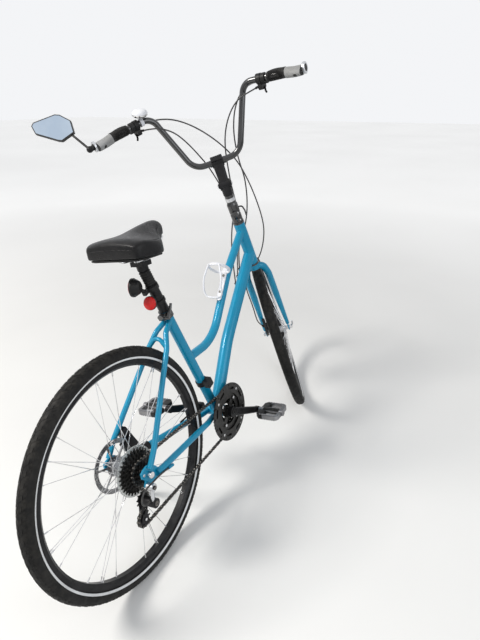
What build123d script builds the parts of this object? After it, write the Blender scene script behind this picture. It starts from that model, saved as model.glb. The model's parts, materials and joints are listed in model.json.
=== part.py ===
from build123d import *
import os
from math import atan2, cos, degrees, hypot, pi, radians, sin, sqrt, tan

# Step-through hybrid bicycle with a high-rise handlebar, parked leaning on its side stand.
# Millimetres. Every piece is first drawn on the upright bicycle: X forward, Y to its left,
# Z up, origin below the rear axle. Steered pieces are then turned about the head axis, and
# the whole bicycle is leaned onto both tyres and the stand's foot.

os.makedirs("parts", exist_ok=True)

# Driving sizes of the whole bicycle
TYRE_RADIUS = 353.0
TYRE_WIDTH = 43.0
WHEELBASE = 1071.0
BB_DROP = 67.0
CHAINSTAY_LENGTH = 461.0
SEAT_ANGLE = 70.1
SEAT_TUBE_LENGTH = 472.0
HEAD_ANGLE = 70.1
FORK_OFFSET = 49.0
FORK_LENGTH = 407.0
HEAD_TUBE_LENGTH = 183.0
LOWER_CUP_HEIGHT = 8.0
LEAN_ANGLE = 10.2
STEER_ANGLE = 31.0
PIN_GAP = 0.3
SEAT_GAP = 0.3

# Frame tubes
HEAD_TUBE_RADIUS = 21.5
HEAD_TUBE_BORE = 17.0
SEAT_TUBE_RADIUS = 16.5
SEAT_TUBE_BORE = 13.9
TOP_TUBE_RADIUS = 15.0
DOWN_TUBE_RADIUS = 22.5
BB_SHELL_RADIUS = 21.0
BB_SHELL_WIDTH = 73.0
SEATSTAY_RADIUS = 8.5
CHAINSTAY_RADIUS = 10.0
SPINDLE_RADIUS = 9.0
DOWN_TUBE_JOIN = 43.0
DOWN_TUBE_BEND = (606, 0, 500)
TOP_TUBE_JOIN = 150.0
TOP_TUBE_SEAT = 266.0
TOP_TUBE_BENDS = [(690, 0, 744), (515, 0, 538)]
TOP_TUBE_BEND_RADII = [400, 160]

# Rear stays of the right-hand side, mirrored for the left. The seatstay's upper points and the
# bridge are forward, left and along from the top of the seat tube, the others (x, y, z).
SEATSTAY_TOP = [(-6.0, -8, -35.9), (-55.2, -19, -42.6), (-97.4, -35, -70.9)]
SEATSTAY_FOOT = [(38, -78, 410), (5, -79, 369)]
SEATSTAY_BENDS = [30, 60, 60]
BRIDGE_POINTS = [(-94.8, -34, -69.7), (-75.1, 0, -38.6), (-94.8, 34, -69.7)]
BRIDGE_RADIUS = 7.0
EYELET_PLACE = (-17, 360)
EYELET_RADIUS = 2.1
DROPOUT_LEFT = [
    (-14, 340), (-25, 352), (-25, 368), (-12, 375), (2, 378),
    (22, 372), (44, 344), (44, 326), (20, 322), (-2, 334),
]
DROPOUT_RIGHT = DROPOUT_LEFT[:-2] + [(16, 322), (2, 312), (-16, 312), (-22, 326)]
CHAINSTAY_POINTS = [(30, -75, 336), (66, -72, 332), (350, -37, 299), (398, -24, 293), (446, -23, 287)]
CHAINSTAY_BENDS = [50, 60, 60]

# Wheels
RIM_OUTER = 317.0
RIM_INNER = 298.0
RIM_WIDTH = 28.0
RIM_FLOOR_WIDTH = 16.0
SPOKE_COUNT = 32
SPOKE_RADIUS = 1.0
AXLE_RADIUS = 5.0
REAR_HUB_WIDTH = 135.0
FRONT_HUB_WIDTH = 100.0
FLANGE_RADIUS = 28.0
FLANGE_THICKNESS = 3.2
SPOKE_CIRCLE = 23.0
HUB_BARREL_RADIUS = 15.0
ROTOR_RADIUS = 80.0
ROTOR_THICKNESS = 1.8
DROPOUT_THICKNESS = 6.0
ROTOR_SEAT = 17.0
FREEHUB_RADIUS = 16.5

# Drive train
CHAIN_PITCH = 12.7
CHAIN_LINE = 47.5
CRANK_LENGTH = 170.0
CRANK_ANGLE = -26.6
RING_TEETH = (28, 38, 48)
RING_SPACING = 7.0
SPROCKET_TEETH = (11, 13, 15, 18, 21, 24, 28, 32)
SPOKE_GUARD_RADIUS = 73.0
SPROCKET_SPACING = 4.8
CHAIN_SPROCKET = 3
PULLEY_TEETH = 11
TOOTH_THICKNESS = 2.0
CHAIN_GAP = 3.2
CHAIN_PLATE = 2.0
CHAIN_HEIGHT = 8.2
GUARD_RADIUS = 104.0
PEDAL_CENTRE = 143.0
GUIDE_PULLEY = (-20.0, 276.0)
TENSION_PULLEY = (-34.0, 220.0)
HANGER = (-12.0, 322.0)
LINK_SPREAD = 9.0
CABLE_STOP = Vector(-32, -87, 287)
GUARD_THICKNESS = 3.0
GUARD_SLOTS = 8
ARM_THICKNESS = 14.0
RING_FACE = CHAIN_LINE + RING_SPACING
PEDAL_AXLE_END = 186.0
PEDAL_LENGTH = 96.0
PEDAL_WIDTH = 88.0
PEDAL_HEIGHT = 22.0
PEDAL_FRAME_HEIGHT = 16.0
PEDAL_RIB = 5.0
PEDAL_NOTCHES = 6

# Front derailleur's cage: forward of the rear axle, above the bottom bracket
CAGE_PLATE = [(440, 106), (438, 118), (348, 114), (316, 86), (312, 62), (330, 64), (352, 86)]
CAGE_BRIDGE = [(346, 110), (346, 114), (378, 117), (378, 113)]
CAGE_PLATE_GAP = 6.0
CAGE_PLATE_THICKNESS = 1.2
CAGE_CUT_RADIUS = 106.0
DERAILLEUR_CLAMP = 148.0

# Cockpit, in the steering frame: forward, left, and along the head axis from the fork crown
BAR_RADIUS = 11.1
BAR_CLAMP_FORWARD = 42.0
BAR_CLAMP_HEIGHT = 425.0
BAR_LOW_HALF = 88.0
BAR_RISE = 209.0
BAR_LEAN = 54.0
BAR_TOP_HALF = 172.0
BAR_END_BACK = 117.0
BAR_HALF_WIDTH = 362.0
GRIP_LENGTH = 130.0
GRIP_RADIUS = 16.5

# Fork, stem and head of the steering
STEERER_RADIUS = 14.3
FORK_BLADE_RADIUS = 14.0
# Fork end: forward of the axle, above it
FORK_TIP = [(-14, 34), (6, 34), (12, 0), (6, -12), (-8, -12), (-13, 0)]
HEAD_TOP_HEIGHT = LOWER_CUP_HEIGHT + HEAD_TUBE_LENGTH
BAR_CLAMP = Vector(BAR_CLAMP_FORWARD, 0, BAR_CLAMP_HEIGHT)
STEM_PIVOT_HEIGHT = HEAD_TOP_HEIGHT + 160.0

# Profile of the riser above the headset: radius, height
RISER_PROFILE = [
    (0, 0), (20.5, 0), (20.5, 30), (18.5, 34), (20.5, 38), (20.5, 72), (17, 80), (16, 80),
    (16, 84), (17.5, 84), (17.5, 112), (14.3, 112), (14.3, 113.7), (0, 113.7),
]
RISER_BOLT_HEIGHTS = (12, 42)
BRACKET_LOOP = [(6, -17, 52), (4, -33, 50), (-4, -38, 34), (-6, -38, 14)]

# Grip with its palm rest: along from the bar's end, down, back, half thickness, half width
GRIP_SECTIONS = [
    (2, 3, 9, 14, 30), (34, 3, 7, 15, 26), (70, 0, 0, 16.5, 17.5), (GRIP_LENGTH, 0, 0, 15.5, 15.6),
]

# Cable barrels of the left-hand controls, root and mouth, from the end of the bar
BRAKE_BARREL = [(101, -106, -15), (115.62, -142.5, -13.2)]
GEAR_BARREL = [(83, -139, -22), (80.53, -156.8, -23.98)]
# Where the front hose leaves its brake: root and mouth, in the steering frame
HOSE_UNION = [(6, 44, -337), (6.98, 56.84, -318.25)]

# Bell: radius, height above the bar's axis
BELL_PROFILE = [
    (0, 22), (22, 22), (22, 26), (27, 27), (27, 31), (25.5, 36), (21, 40.5), (13, 43.5), (0, 44.5),
]
BELL_PLACE = 183.0
MIRROR_CENTRE = Vector(BAR_CLAMP_FORWARD - 13, 485, BAR_CLAMP_HEIGHT + 301)
MIRROR_OUTLINE = [
    (-70, 6), (-64, 18), (8, 46), (25, 45), (62, 26), (74, -14), (34, -43), (20, -42), (-56, -20),
]

# Seat post, along the seat axis from the bottom bracket
POST_RADIUS = 13.6
COLLAR_HEIGHT = 24.0
POST_HEAD = SEAT_TUBE_LENGTH + 168.0
BOOT_START = POST_HEAD - 67.0
BOOT_END = POST_HEAD - 18.0
BOOT_FOLDS = 12
LAMP_BAND = SEAT_TUBE_LENGTH + 91.0
REFLECTOR_BAND = SEAT_TUBE_LENGTH + 40.0

# Saddle, measured from its rails at the clamp
RAIL_RADIUS = 3.5
RAIL_SPACING = 44.0
RAIL_RISE = 15.5
SADDLE_FLOOR = 5.0
SADDLE_HALF_SPAN = 130.0
SHELL_THICKNESS = 12.0
SHELL_INSET = 8.0
# Forward of the clamp, half width, height of the shoulders, height of the middle, corner radius
SADDLE_SECTIONS = [
    (-111, 86, 59, 67, 12),
    (-99, 100, 63, 76, 15),
    (-74, 107, 67, 79, 18),
    (-9, 104, 55, 81, 18),
    (23, 76, 59, 90, 18),
    (53, 46, 68, 96, 16),
    (86, 31, 78, 98, 12),
    (109, 18, 71, 83, 8),
]
# Lower edge of the cover: forward of the clamp, height
SADDLE_KEEL = [(-125, 24), (3, 17), (51, 40), (125, 56)]

# Bottle cage on the upper face of the top tube: out from the tube, left, along the tube
BOTTLE_RADIUS = 37.0
CAGE_WIRE_RADIUS = 3.5
CAGE_HOOP_HEIGHT = 44.0
CAGE_HOOP_OUT = 41.8
CAGE_WIRE = [(5, 9, -58), (34, 30, -62), (66, 34, -20), (78, 20, 44)]
CAGE_BEND = 14.0
BOTTLE_MIDDLES = [(42, 0, -32), (42, 0, 6), (42, 0, 36)]

# Stand
STAND_PIVOT = Vector(130, 82, 300)
STAND_DOWN = Vector(85, 140, -249).normalized()
STAND_FOLDED = Vector(-0.985, 0.13, 0.11).normalized()
STAND_FOOT_RADIUS = 11.0
STAND_LEG_RADIUS = 8.0

# Lights on the seat post: centre and direction from the top of the seat tube, radius and height
LAMP_CENTRE = (-43.8, 16, 121.3)
LAMP_FACING = (-0.265, 0.95, 0.149)
LAMP_PROFILE = [(0, -15), (13, -15), (19, -11), (24, -3), (27, 6), (27, 11), (24, 13.5), (0, 15)]
REFLECTOR_CENTRE = (-43.7, -6, 62.8)
REFLECTOR_FACING = (-0.825, -0.2, 0.511)
REFLECTOR_PROFILE = [(0, -3), (20.5, -3), (20.5, 3), (17, 5.5), (9, 7.5), (0, 8)]

# Cables and hoses, all with the radius CABLE_RADIUS. In the steering frame (forward, left, up)
# where they start at the handlebar, and (x, y, z) of the bicycle where the frame holds them.
CABLE_RADIUS = 2.5
HOSE_FRONT = [
    (94.7, 219.3, 620.8), (104, 196, 622), (106, 150, 618), (100, 100, 602), (92, 48, 566), (84, -2, 512),
    (78, -42, 452), (75, -70, 390), (71, -82, 330), (67, -89, 272), (63, -92, 214), (59, -92, 158),
    (56, -86, 106), (50, -68, 56), (42, -42, 12), (33, -14, -16), (33, 18, -36), (36, 46, -64),
    (32, 62, -96), (26, 67, -140), (24, 66, -190), (25, 67.5, -236), (17, 70, -273), (8.4, 68.5, -299.5),
    (7, 57, -318),
]
HOSE_REAR = [
    (94.7, -219.3, 620.8), (104, -196, 622), (108, -156, 606), (104, -120, 566), (92, -94, 510),
    (78, -80, 450), (62, -75, 388), (56, -76, 336), (56, -68, 285), (55, -57, 240),
    (52, -38, 186), (46, -14, 142), (35, 12, 106), (22, 34, 78),
]
GEAR_CABLE_LEFT = [
    (59.5, 205, 610), (54.7, 170.6, 606.2), (49, 138, 594), (50, 104, 566), (52, 76, 516), (58, 56, 465),
    (63, 40, 420), (57, 28, 372), (46, 18, 325), (37, 8, 280), (33, 6, 232),
]
GEAR_CABLE_RIGHT = [
    (59.5, -205, 610), (54.7, -170.6, 606.2), (57, -138, 598), (60, -108, 576), (62, -78, 540),
    (64, -54, 494), (62, -38, 440), (52, -29, 388), (42, -21, 340),
    (36, -17, 292), (35, -13, 244), (35, -6, 196), (34, 3, 150),
]
GEAR_LOOP = [
    (72, -81.5, 323), (46, -86, 330), (16, -91, 337), (-14, -94, 338.5), (-46, -94, 338),
    (-62, -93, 323.4), (-63, -90, 302), (-49, -87.5, 287.5), (-32, -87, 287),
]
# Round the head tube to the ports on the down tube's left, in the head tube's own frame, unsteered
CABLE_TAILS = {
    "hose_rear": [(-28, 37, 50), (-66, 27, 21)],
    "gear_cable_right": [(14, 33, 116), (-12, 38, 84), (-42, 36, 54), (-70, 31, 28), (-96, 27, 7)],
    "gear_cable_left": [
        (16, 32, 196), (-10, 38, 160), (-40, 38, 124), (-72, 34, 84), (-100, 30, 38), (-125, 27, -7),
    ],
}
PORT_RADIUS = 4.0
LOOP_STOP_RADIUS = 4.5

# Spaces that are used: half sizes of boxes along the parked axes
BOTTLE_HALF_BOX = (16.0, 22.0, 16.0)
BAR_SPACE_MIDDLE = (84, -18, 592)
BAR_SPACE_HALF_BOX = (60.0, 30.0, 30.0)

# Places worked out from the sizes
REAR_AXLE = Vector(0, 0, TYRE_RADIUS)
FRONT_AXLE = Vector(WHEELBASE, 0, TYRE_RADIUS)
BB_CENTRE = Vector(sqrt(CHAINSTAY_LENGTH**2 - BB_DROP**2), 0, TYRE_RADIUS - BB_DROP)
SEAT_UP = Vector(-cos(radians(SEAT_ANGLE)), 0, sin(radians(SEAT_ANGLE)))
HEAD_UP = Vector(-cos(radians(HEAD_ANGLE)), 0, sin(radians(HEAD_ANGLE)))
HEAD_FORWARD = Vector(sin(radians(HEAD_ANGLE)), 0, cos(radians(HEAD_ANGLE)))
CROWN_HEIGHT = sqrt(FORK_LENGTH**2 - FORK_OFFSET**2)
CROWN = FRONT_AXLE - HEAD_FORWARD * FORK_OFFSET + HEAD_UP * CROWN_HEIGHT
HEAD_BASE = CROWN + HEAD_UP * LOWER_CUP_HEIGHT
HEAD_TOP = HEAD_BASE + HEAD_UP * HEAD_TUBE_LENGTH
SEAT_CLUSTER = BB_CENTRE + SEAT_UP * SEAT_TUBE_LENGTH

STEERING = Plane(origin=CROWN, x_dir=HEAD_FORWARD, z_dir=HEAD_UP).location
SEAT_FORWARD = Vector(sin(radians(SEAT_ANGLE)), 0, cos(radians(SEAT_ANGLE)))
SEAT_AXIS = Plane(origin=BB_CENTRE, x_dir=SEAT_FORWARD, z_dir=SEAT_UP).location
REAR_WHEEL = Plane(origin=REAR_AXLE, x_dir=(1, 0, 0), z_dir=(0, 1, 0)).location
FRONT_WHEEL = Plane(origin=FRONT_AXLE, x_dir=(1, 0, 0), z_dir=(0, 1, 0)).location
CRANK = Plane(origin=BB_CENTRE, x_dir=(1, 0, 0), z_dir=(0, 1, 0)).location
POST_CLAMP = SEAT_AXIS.position + SEAT_UP * (POST_HEAD + 4)
RAIL_CLAMP = POST_CLAMP + Vector(2, 0, RAIL_RISE)

NODES = {}
STEERED = set()


# Shapes used again and again

def rod(start, end, radius, end_radius=None):
    start, end = Vector(*start), Vector(*end)
    place = Plane(origin=start, z_dir=end - start).location
    length = (end - start).length
    low = (Align.CENTER, Align.CENTER, Align.MIN)
    if end_radius is None:
        return place * Cylinder(radius, length, align=low)
    return place * Cone(radius, end_radius, length, align=low)


def bent_tube(points, bend_radii, radius):
    path = FilletPolyline(*points, radius=bend_radii)
    start = Plane(origin=path @ 0, z_dir=path % 0)
    return sweep(start * Circle(radius), path=path)


def ring(outer, inner, low, high):
    middle = (low + high) / 2
    return Pos(0, 0, middle) * (Cylinder(outer, high - low) - Cylinder(inner, high - low))


def disc(radius, low, high):
    return Pos(0, 0, (low + high) / 2) * Cylinder(radius, high - low)


def side_plate(outline, low, high):
    # A plate cut from an (x, z) outline, between two distances to the left
    face = make_face(Polyline(*[(x, low, z) for x, z in outline], close=True))
    return extrude(face, amount=high - low, dir=(0, 1, 0))


def turned(profile):
    # A solid turned about Z from (radius, height) points
    return revolve(make_face(Polyline(*[(r, 0, z) for r, z in profile], close=True)), Axis.Z)


def block(length, width, height, corner):
    # A rounded rectangle on (x, y), raised along Z about its middle
    return Pos(0, 0, -height / 2) * extrude(RectangleRounded(length, width, corner), amount=height)


def toothed_disc(teeth, thickness):
    pitch_radius = CHAIN_PITCH / (2 * sin(pi / teeth))
    root = pitch_radius - 4.3
    tip = pitch_radius + 3.0
    outline = []
    for tooth in range(teeth):
        for share, radius in ((-0.32, root), (-0.12, tip), (0.12, tip), (0.32, root)):
            angle = 2 * pi * (tooth + share) / teeth
            outline.append((radius * cos(angle), radius * sin(angle)))
    face = make_face(Polyline(*outline, close=True))
    return Pos(0, 0, -thickness / 2) * extrude(face, amount=thickness)


# Frame

def frame_tubes():
    head = STEERING * ring(HEAD_TUBE_RADIUS, HEAD_TUBE_BORE, LOWER_CUP_HEIGHT, HEAD_TOP_HEIGHT)
    shell = CRANK * ring(BB_SHELL_RADIUS, SPINDLE_RADIUS + PIN_GAP, -BB_SHELL_WIDTH / 2, BB_SHELL_WIDTH / 2)
    shell_solid = CRANK * disc(BB_SHELL_RADIUS, -BB_SHELL_WIDTH / 2, BB_SHELL_WIDTH / 2)
    seat = rod(BB_CENTRE, SEAT_CLUSTER, SEAT_TUBE_RADIUS) - shell_solid
    seat -= SEAT_AXIS * disc(SEAT_TUBE_BORE, BB_SHELL_RADIUS + 20, SEAT_TUBE_LENGTH + 1)
    head_solid = STEERING * disc(HEAD_TUBE_RADIUS, 0, LOWER_CUP_HEIGHT + HEAD_TUBE_LENGTH)
    seat_solid = rod(BB_CENTRE, SEAT_CLUSTER, SEAT_TUBE_RADIUS)
    down_top = HEAD_BASE + HEAD_UP * DOWN_TUBE_JOIN
    down = bent_tube([BB_CENTRE + Vector(2, 0, 4), DOWN_TUBE_BEND, down_top], 400, DOWN_TUBE_RADIUS)
    down = down - head_solid - seat_solid - shell_solid
    down = largest(down)
    top_start = HEAD_BASE + HEAD_UP * TOP_TUBE_JOIN
    seat_end = BB_CENTRE + SEAT_UP * TOP_TUBE_SEAT
    top = bent_tube([top_start, *TOP_TUBE_BENDS, seat_end], TOP_TUBE_BEND_RADII, TOP_TUBE_RADIUS)
    top = largest(top - head_solid - seat_solid - down)
    NODES["head_tube"] = head
    NODES["bottom_bracket"] = shell
    NODES["seat_tube"] = seat
    NODES["down_tube"] = down
    NODES["top_tube"] = top


def largest(shape):
    return max(shape.solids(), key=lambda solid: solid.volume)


def mirrored(points, side):
    return [(x, y * side, z) for x, y, z in points]


def seat_point(forward, left, along):
    # A place in the seat tube's frame, measured from the middle of its top
    return (SEAT_AXIS * Pos(forward, left, SEAT_TUBE_LENGTH + along)).position


def seat_direction(forward, left, along):
    return (SEAT_AXIS * Pos(forward, left, along)).position - SEAT_AXIS.position


def rear_stays():
    seat_solid = rod(BB_CENTRE, SEAT_CLUSTER, SEAT_TUBE_RADIUS)
    shell_solid = CRANK * disc(BB_SHELL_RADIUS, -BB_SHELL_WIDTH / 2, BB_SHELL_WIDTH / 2)
    inner = REAR_HUB_WIDTH / 2
    eye_x, eye_z = EYELET_PLACE
    for name, side, outline in (("right", 1, DROPOUT_RIGHT), ("left", -1, DROPOUT_LEFT)):
        upper = [seat_point(*point) for point in mirrored(SEATSTAY_TOP, side)]
        stay = bent_tube(upper + mirrored(SEATSTAY_FOOT, side), SEATSTAY_BENDS, SEATSTAY_RADIUS)
        stay = largest(stay - seat_solid)
        chain_stay = bent_tube(mirrored(CHAINSTAY_POINTS, side), CHAINSTAY_BENDS, CHAINSTAY_RADIUS)
        chain_stay = largest(chain_stay - shell_solid - seat_solid)
        low, high = sorted((-side * inner, -side * (inner + DROPOUT_THICKNESS)))
        plate = side_plate(outline, low, high)
        plate -= rod((0, low - 1, TYRE_RADIUS), (0, high + 1, TYRE_RADIUS), AXLE_RADIUS)
        plate -= rod((eye_x, low - 1, eye_z), (eye_x, high + 1, eye_z), EYELET_RADIUS)
        chain_stay = chain_stay + (plate - stay)
        stay = largest(stay - plate)
        NODES["seatstay_" + name] = stay
        NODES["chainstay_" + name] = largest(chain_stay - stay)
    bridge = bent_tube([seat_point(*point) for point in BRIDGE_POINTS], 22, BRIDGE_RADIUS)
    NODES["stay_bridge"] = largest(bridge - NODES["seatstay_left"] - NODES["seatstay_right"])


# Wheels, drawn about Z with +Z to the bicycle's left

def tyre():
    centre = TYRE_RADIUS - TYRE_WIDTH / 2
    body = Torus(centre, TYRE_WIDTH / 2)
    return body - Cylinder(RIM_OUTER + SEAT_GAP, TYRE_WIDTH)


def rim():
    half, floor = RIM_WIDTH / 2, RIM_FLOOR_WIDTH / 2
    outline = [
        (RIM_INNER, -floor), (RIM_INNER, floor), (RIM_INNER + 7, half),
        (RIM_OUTER, half), (RIM_OUTER, -half), (RIM_INNER + 7, -half),
    ]
    face = make_face(Polyline(*[(r, 0, z) for r, z in outline], close=True))
    return revolve(face, Axis.Z)


def spokes(left_flange, right_flange):
    made = []
    per_side = SPOKE_COUNT // 2
    inner_offset = FLANGE_THICKNESS / 2 + SPOKE_RADIUS + 0.2
    outer_offset = inner_offset + 1.5
    for side, flange in ((0, left_flange), (1, right_flange)):
        outward = 1 if side == 0 else -1
        for count in range(per_side):
            lean = 1 if count % 2 else -1
            offset = outer_offset if lean == outward else inner_offset
            hub_angle = 2 * pi * (count + side / 2) / per_side
            rim_angle = hub_angle + lean * radians(62)
            around = (SPOKE_CIRCLE * cos(hub_angle), SPOKE_CIRCLE * sin(hub_angle))
            start = Vector(*around, flange + lean * offset)
            reach = RIM_INNER - SEAT_GAP
            tip_side = 3.0 if side == 0 else -3.0
            end = Vector(reach * cos(rim_angle), reach * sin(rim_angle), tip_side)
            place = Plane(origin=start, z_dir=end - start)
            made.append(extrude(place * RegularPolygon(SPOKE_RADIUS, 6), amount=(end - start).length - 0.1))
    return Compound(children=made)


def hub(width, left_flange, right_flange, left_end, right_end, left_radius, right_radius):
    body = disc(HUB_BARREL_RADIUS, right_flange, left_flange)
    for flange in (left_flange, right_flange):
        body += disc(FLANGE_RADIUS, flange - FLANGE_THICKNESS / 2, flange + FLANGE_THICKNESS / 2)
    body += disc(left_radius, left_flange, left_end)
    body += disc(right_radius, right_end, right_flange)
    return body - Cylinder(AXLE_RADIUS + PIN_GAP, width)


def rotor(plane_height):
    plate = ring(ROTOR_RADIUS, ROTOR_RADIUS - 14, -ROTOR_THICKNESS / 2, ROTOR_THICKNESS / 2)
    plate += ring(30, ROTOR_SEAT + SEAT_GAP, -ROTOR_THICKNESS / 2, ROTOR_THICKNESS / 2)
    for arm in range(6):
        spoke = Pos((30 + ROTOR_RADIUS - 14) / 2, 0, 0) * Box(ROTOR_RADIUS - 14 - 30 + 3, 6, ROTOR_THICKNESS)
        plate += Rot(0, 0, arm * 60 + 20) * spoke
    return Pos(0, 0, plane_height) * plate


def axle(width, nut_left, nut_right):
    half = width / 2
    outside = half + DROPOUT_THICKNESS
    body = Cylinder(AXLE_RADIUS, 2 * outside)
    body += ring(9, AXLE_RADIUS, nut_left + PIN_GAP, half)
    body += ring(9, AXLE_RADIUS, -half, -nut_right - PIN_GAP)
    body += disc(9, -outside - 14, -outside)
    body += disc(9, outside, outside + 12)
    return body


def rear_wheel():
    left_flange, right_flange = 34.0, -18.0
    rotor_height = REAR_HUB_WIDTH / 2 - 15
    NODES["rear_tyre"] = REAR_WHEEL * tyre()
    NODES["rear_rim"] = REAR_WHEEL * rim()
    NODES["rear_spokes"] = REAR_WHEEL * spokes(left_flange, right_flange)
    hub_left = rotor_height + 4
    hub_right = -REAR_HUB_WIDTH / 2 + 6
    NODES["rear_hub"] = REAR_WHEEL * hub(
        REAR_HUB_WIDTH, left_flange, right_flange, hub_left, hub_right, ROTOR_SEAT, FREEHUB_RADIUS
    )
    NODES["rear_rotor"] = REAR_WHEEL * rotor(rotor_height)
    NODES["rear_axle"] = REAR_WHEEL * axle(REAR_HUB_WIDTH, hub_left, -hub_right)
    NODES["cassette"] = REAR_WHEEL * cassette()
    guard_low, guard_high = right_flange - 7.8, right_flange - 6.4
    guard = ring(SPOKE_GUARD_RADIUS, FREEHUB_RADIUS + SEAT_GAP, guard_low, guard_high)
    NODES["spoke_guard"] = REAR_WHEEL * guard


def sprocket_height(index):
    return -CHAIN_LINE - (CHAIN_SPROCKET - index) * SPROCKET_SPACING


def cassette():
    made = ring(20, FREEHUB_RADIUS + SEAT_GAP, sprocket_height(0), sprocket_height(7))
    for index, teeth in enumerate(SPROCKET_TEETH):
        wheel = Pos(0, 0, sprocket_height(index)) * toothed_disc(teeth, TOOTH_THICKNESS)
        made += wheel
    return made - Cylinder(FREEHUB_RADIUS + SEAT_GAP, 200)


def front_wheel():
    left_flange, right_flange = 20.0, -34.0
    rotor_height = FRONT_HUB_WIDTH / 2 - 15
    hub_left = rotor_height + 4
    hub_right = -FRONT_HUB_WIDTH / 2 + 6
    pieces = {
        "front_tyre": tyre(),
        "front_rim": rim(),
        "front_spokes": spokes(left_flange, right_flange),
        "front_hub": hub(FRONT_HUB_WIDTH, left_flange, right_flange, hub_left, hub_right, ROTOR_SEAT, 10),
        "front_rotor": rotor(rotor_height),
        "front_axle": axle(FRONT_HUB_WIDTH, hub_left, -hub_right),
    }
    for name, piece in pieces.items():
        NODES[name] = FRONT_WHEEL * piece
        STEERED.add(name)


# Fork, stem and handlebar, drawn in the steering frame

def fork():
    steerer = disc(STEERER_RADIUS, -20, LOWER_CUP_HEIGHT + HEAD_TUBE_LENGTH + 30)
    body = steerer + disc(HEAD_TUBE_RADIUS, -22, -SEAT_GAP)
    inner = FRONT_HUB_WIDTH / 2
    for side in (1, -1):
        shoulder = [(0, 0, -16), (2, side * 34, -16), (12, side * 46, -70), (26, side * 48, -190)]
        body += bent_tube(shoulder, [26, 60], FORK_BLADE_RADIUS)
        foot = (FORK_OFFSET - 5, side * (inner + 4), -CROWN_HEIGHT + 26)
        body += rod((25.8, side * 47.97, -187), foot, FORK_BLADE_RADIUS - 0.2, 8)
        tip = [(FORK_OFFSET + forward, -CROWN_HEIGHT + up) for forward, up in FORK_TIP]
        low, high = sorted((side * inner, side * (inner + DROPOUT_THICKNESS)))
        body += side_plate(tip, low, high)
    at = (FORK_OFFSET, -CROWN_HEIGHT)
    hole = rod((at[0], -inner - 20, at[1]), (at[0], inner + 20, at[1]), AXLE_RADIUS)
    clear = rod((at[0], -inner, at[1]), (at[0], inner, at[1]), 14)
    return body - hole - clear


def headset():
    lower = ring(HEAD_TUBE_RADIUS + 1.5, STEERER_RADIUS + PIN_GAP, SEAT_GAP, LOWER_CUP_HEIGHT)
    upper = ring(HEAD_TUBE_RADIUS + 0.5, STEERER_RADIUS + PIN_GAP, HEAD_TOP_HEIGHT, HEAD_TOP_HEIGHT + 8)
    return lower + upper


def stem_riser():
    base = HEAD_TOP_HEIGHT + 8 + SEAT_GAP
    body = Pos(0, 0, base) * turned(RISER_PROFILE)
    for height in RISER_BOLT_HEIGHTS:
        body += Pos(-21, 0, base + height) * Rot(0, 90, 0) * block(16, 20, 14, 4)
    body -= disc(STEERER_RADIUS, base - 1, HEAD_TOP_HEIGHT + 30)
    body -= Pos(-22, 0, base + 27) * Box(24, 2, 56)
    hook = [Vector(x, y, base + z) for x, y, z in BRACKET_LOOP]
    return body + bent_tube(hook, [9, 9], 3)


def stem():
    pivot = Vector(0, 0, STEM_PIVOT_HEIGHT)
    direction = (BAR_CLAMP - pivot).normalized()
    body = disc(19, STEM_PIVOT_HEIGHT - 38, STEM_PIVOT_HEIGHT)
    body += rod(pivot - Vector(0, 21, 0), pivot + Vector(0, 21, 0), 17)
    body += rod(pivot - Vector(0, 25, 0), pivot + Vector(0, 25, 0), 9)
    near = Plane(origin=pivot, x_dir=(0, 1, 0), z_dir=direction) * RectangleRounded(34, 30, 9)
    front = Plane(origin=BAR_CLAMP - direction * 12, x_dir=(0, 1, 0), z_dir=direction)
    body += loft([near, front * RectangleRounded(40, 28, 8)])
    body += rod(BAR_CLAMP - Vector(0, 22, 0), BAR_CLAMP + Vector(0, 22, 0), 18)
    face = Plane(origin=BAR_CLAMP + direction * 9, x_dir=(0, 1, 0), z_dir=direction).location
    body += face * block(44, 42, 18, 6)
    body -= rod(BAR_CLAMP - Vector(0, 30, 0), BAR_CLAMP + Vector(0, 30, 0), BAR_RADIUS + 1.6)
    seam = Plane(origin=BAR_CLAMP + direction * 1, x_dir=(0, 1, 0), z_dir=direction).location
    for shift in (-17, 17):
        body -= seam * Pos(0, shift, 0) * Box(50, 11, 1.4)
    return body


def bar_points(side):
    low = BAR_CLAMP + Vector(2, side * BAR_LOW_HALF, 2)
    high = BAR_CLAMP + Vector(BAR_LEAN, side * BAR_TOP_HALF, BAR_RISE)
    end = BAR_CLAMP + Vector(BAR_LEAN - BAR_END_BACK, side * BAR_HALF_WIDTH, BAR_RISE)
    return low, high, end


def handlebar():
    low, high, end = bar_points(1)
    half = bent_tube([end, high, low, BAR_CLAMP], [40, 58], BAR_RADIUS)
    other = mirror(half, Plane.XZ)
    bulge = rod(BAR_CLAMP - Vector(0, 30, 0), BAR_CLAMP + Vector(0, 30, 0), BAR_RADIUS + 1.6)
    return half + other + bulge


def along_grip(side, distance):
    # A point on the bar, measured inwards from its end
    low, high, end = bar_points(side)
    return end + (high - end).normalized() * distance


def grip_place(side, distance):
    low, high, end = bar_points(side)
    origin = along_grip(side, distance)
    return Plane(origin=origin, x_dir=(0, 0, 1), z_dir=(high - end)).location


def grip(side):
    place = grip_place(side, -4)
    sections = []
    for along, down, back, thick, wide in GRIP_SECTIONS:
        sections.append(Pos(-down, side * back, along) * Ellipse(thick, wide))
    body = loft(sections) - disc(BAR_RADIUS + SEAT_GAP, -10, GRIP_LENGTH + 10)
    cap = disc(GRIP_RADIUS + 1, -6, 2 - SEAT_GAP)
    return place * Compound(children=[body, cap])


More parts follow.
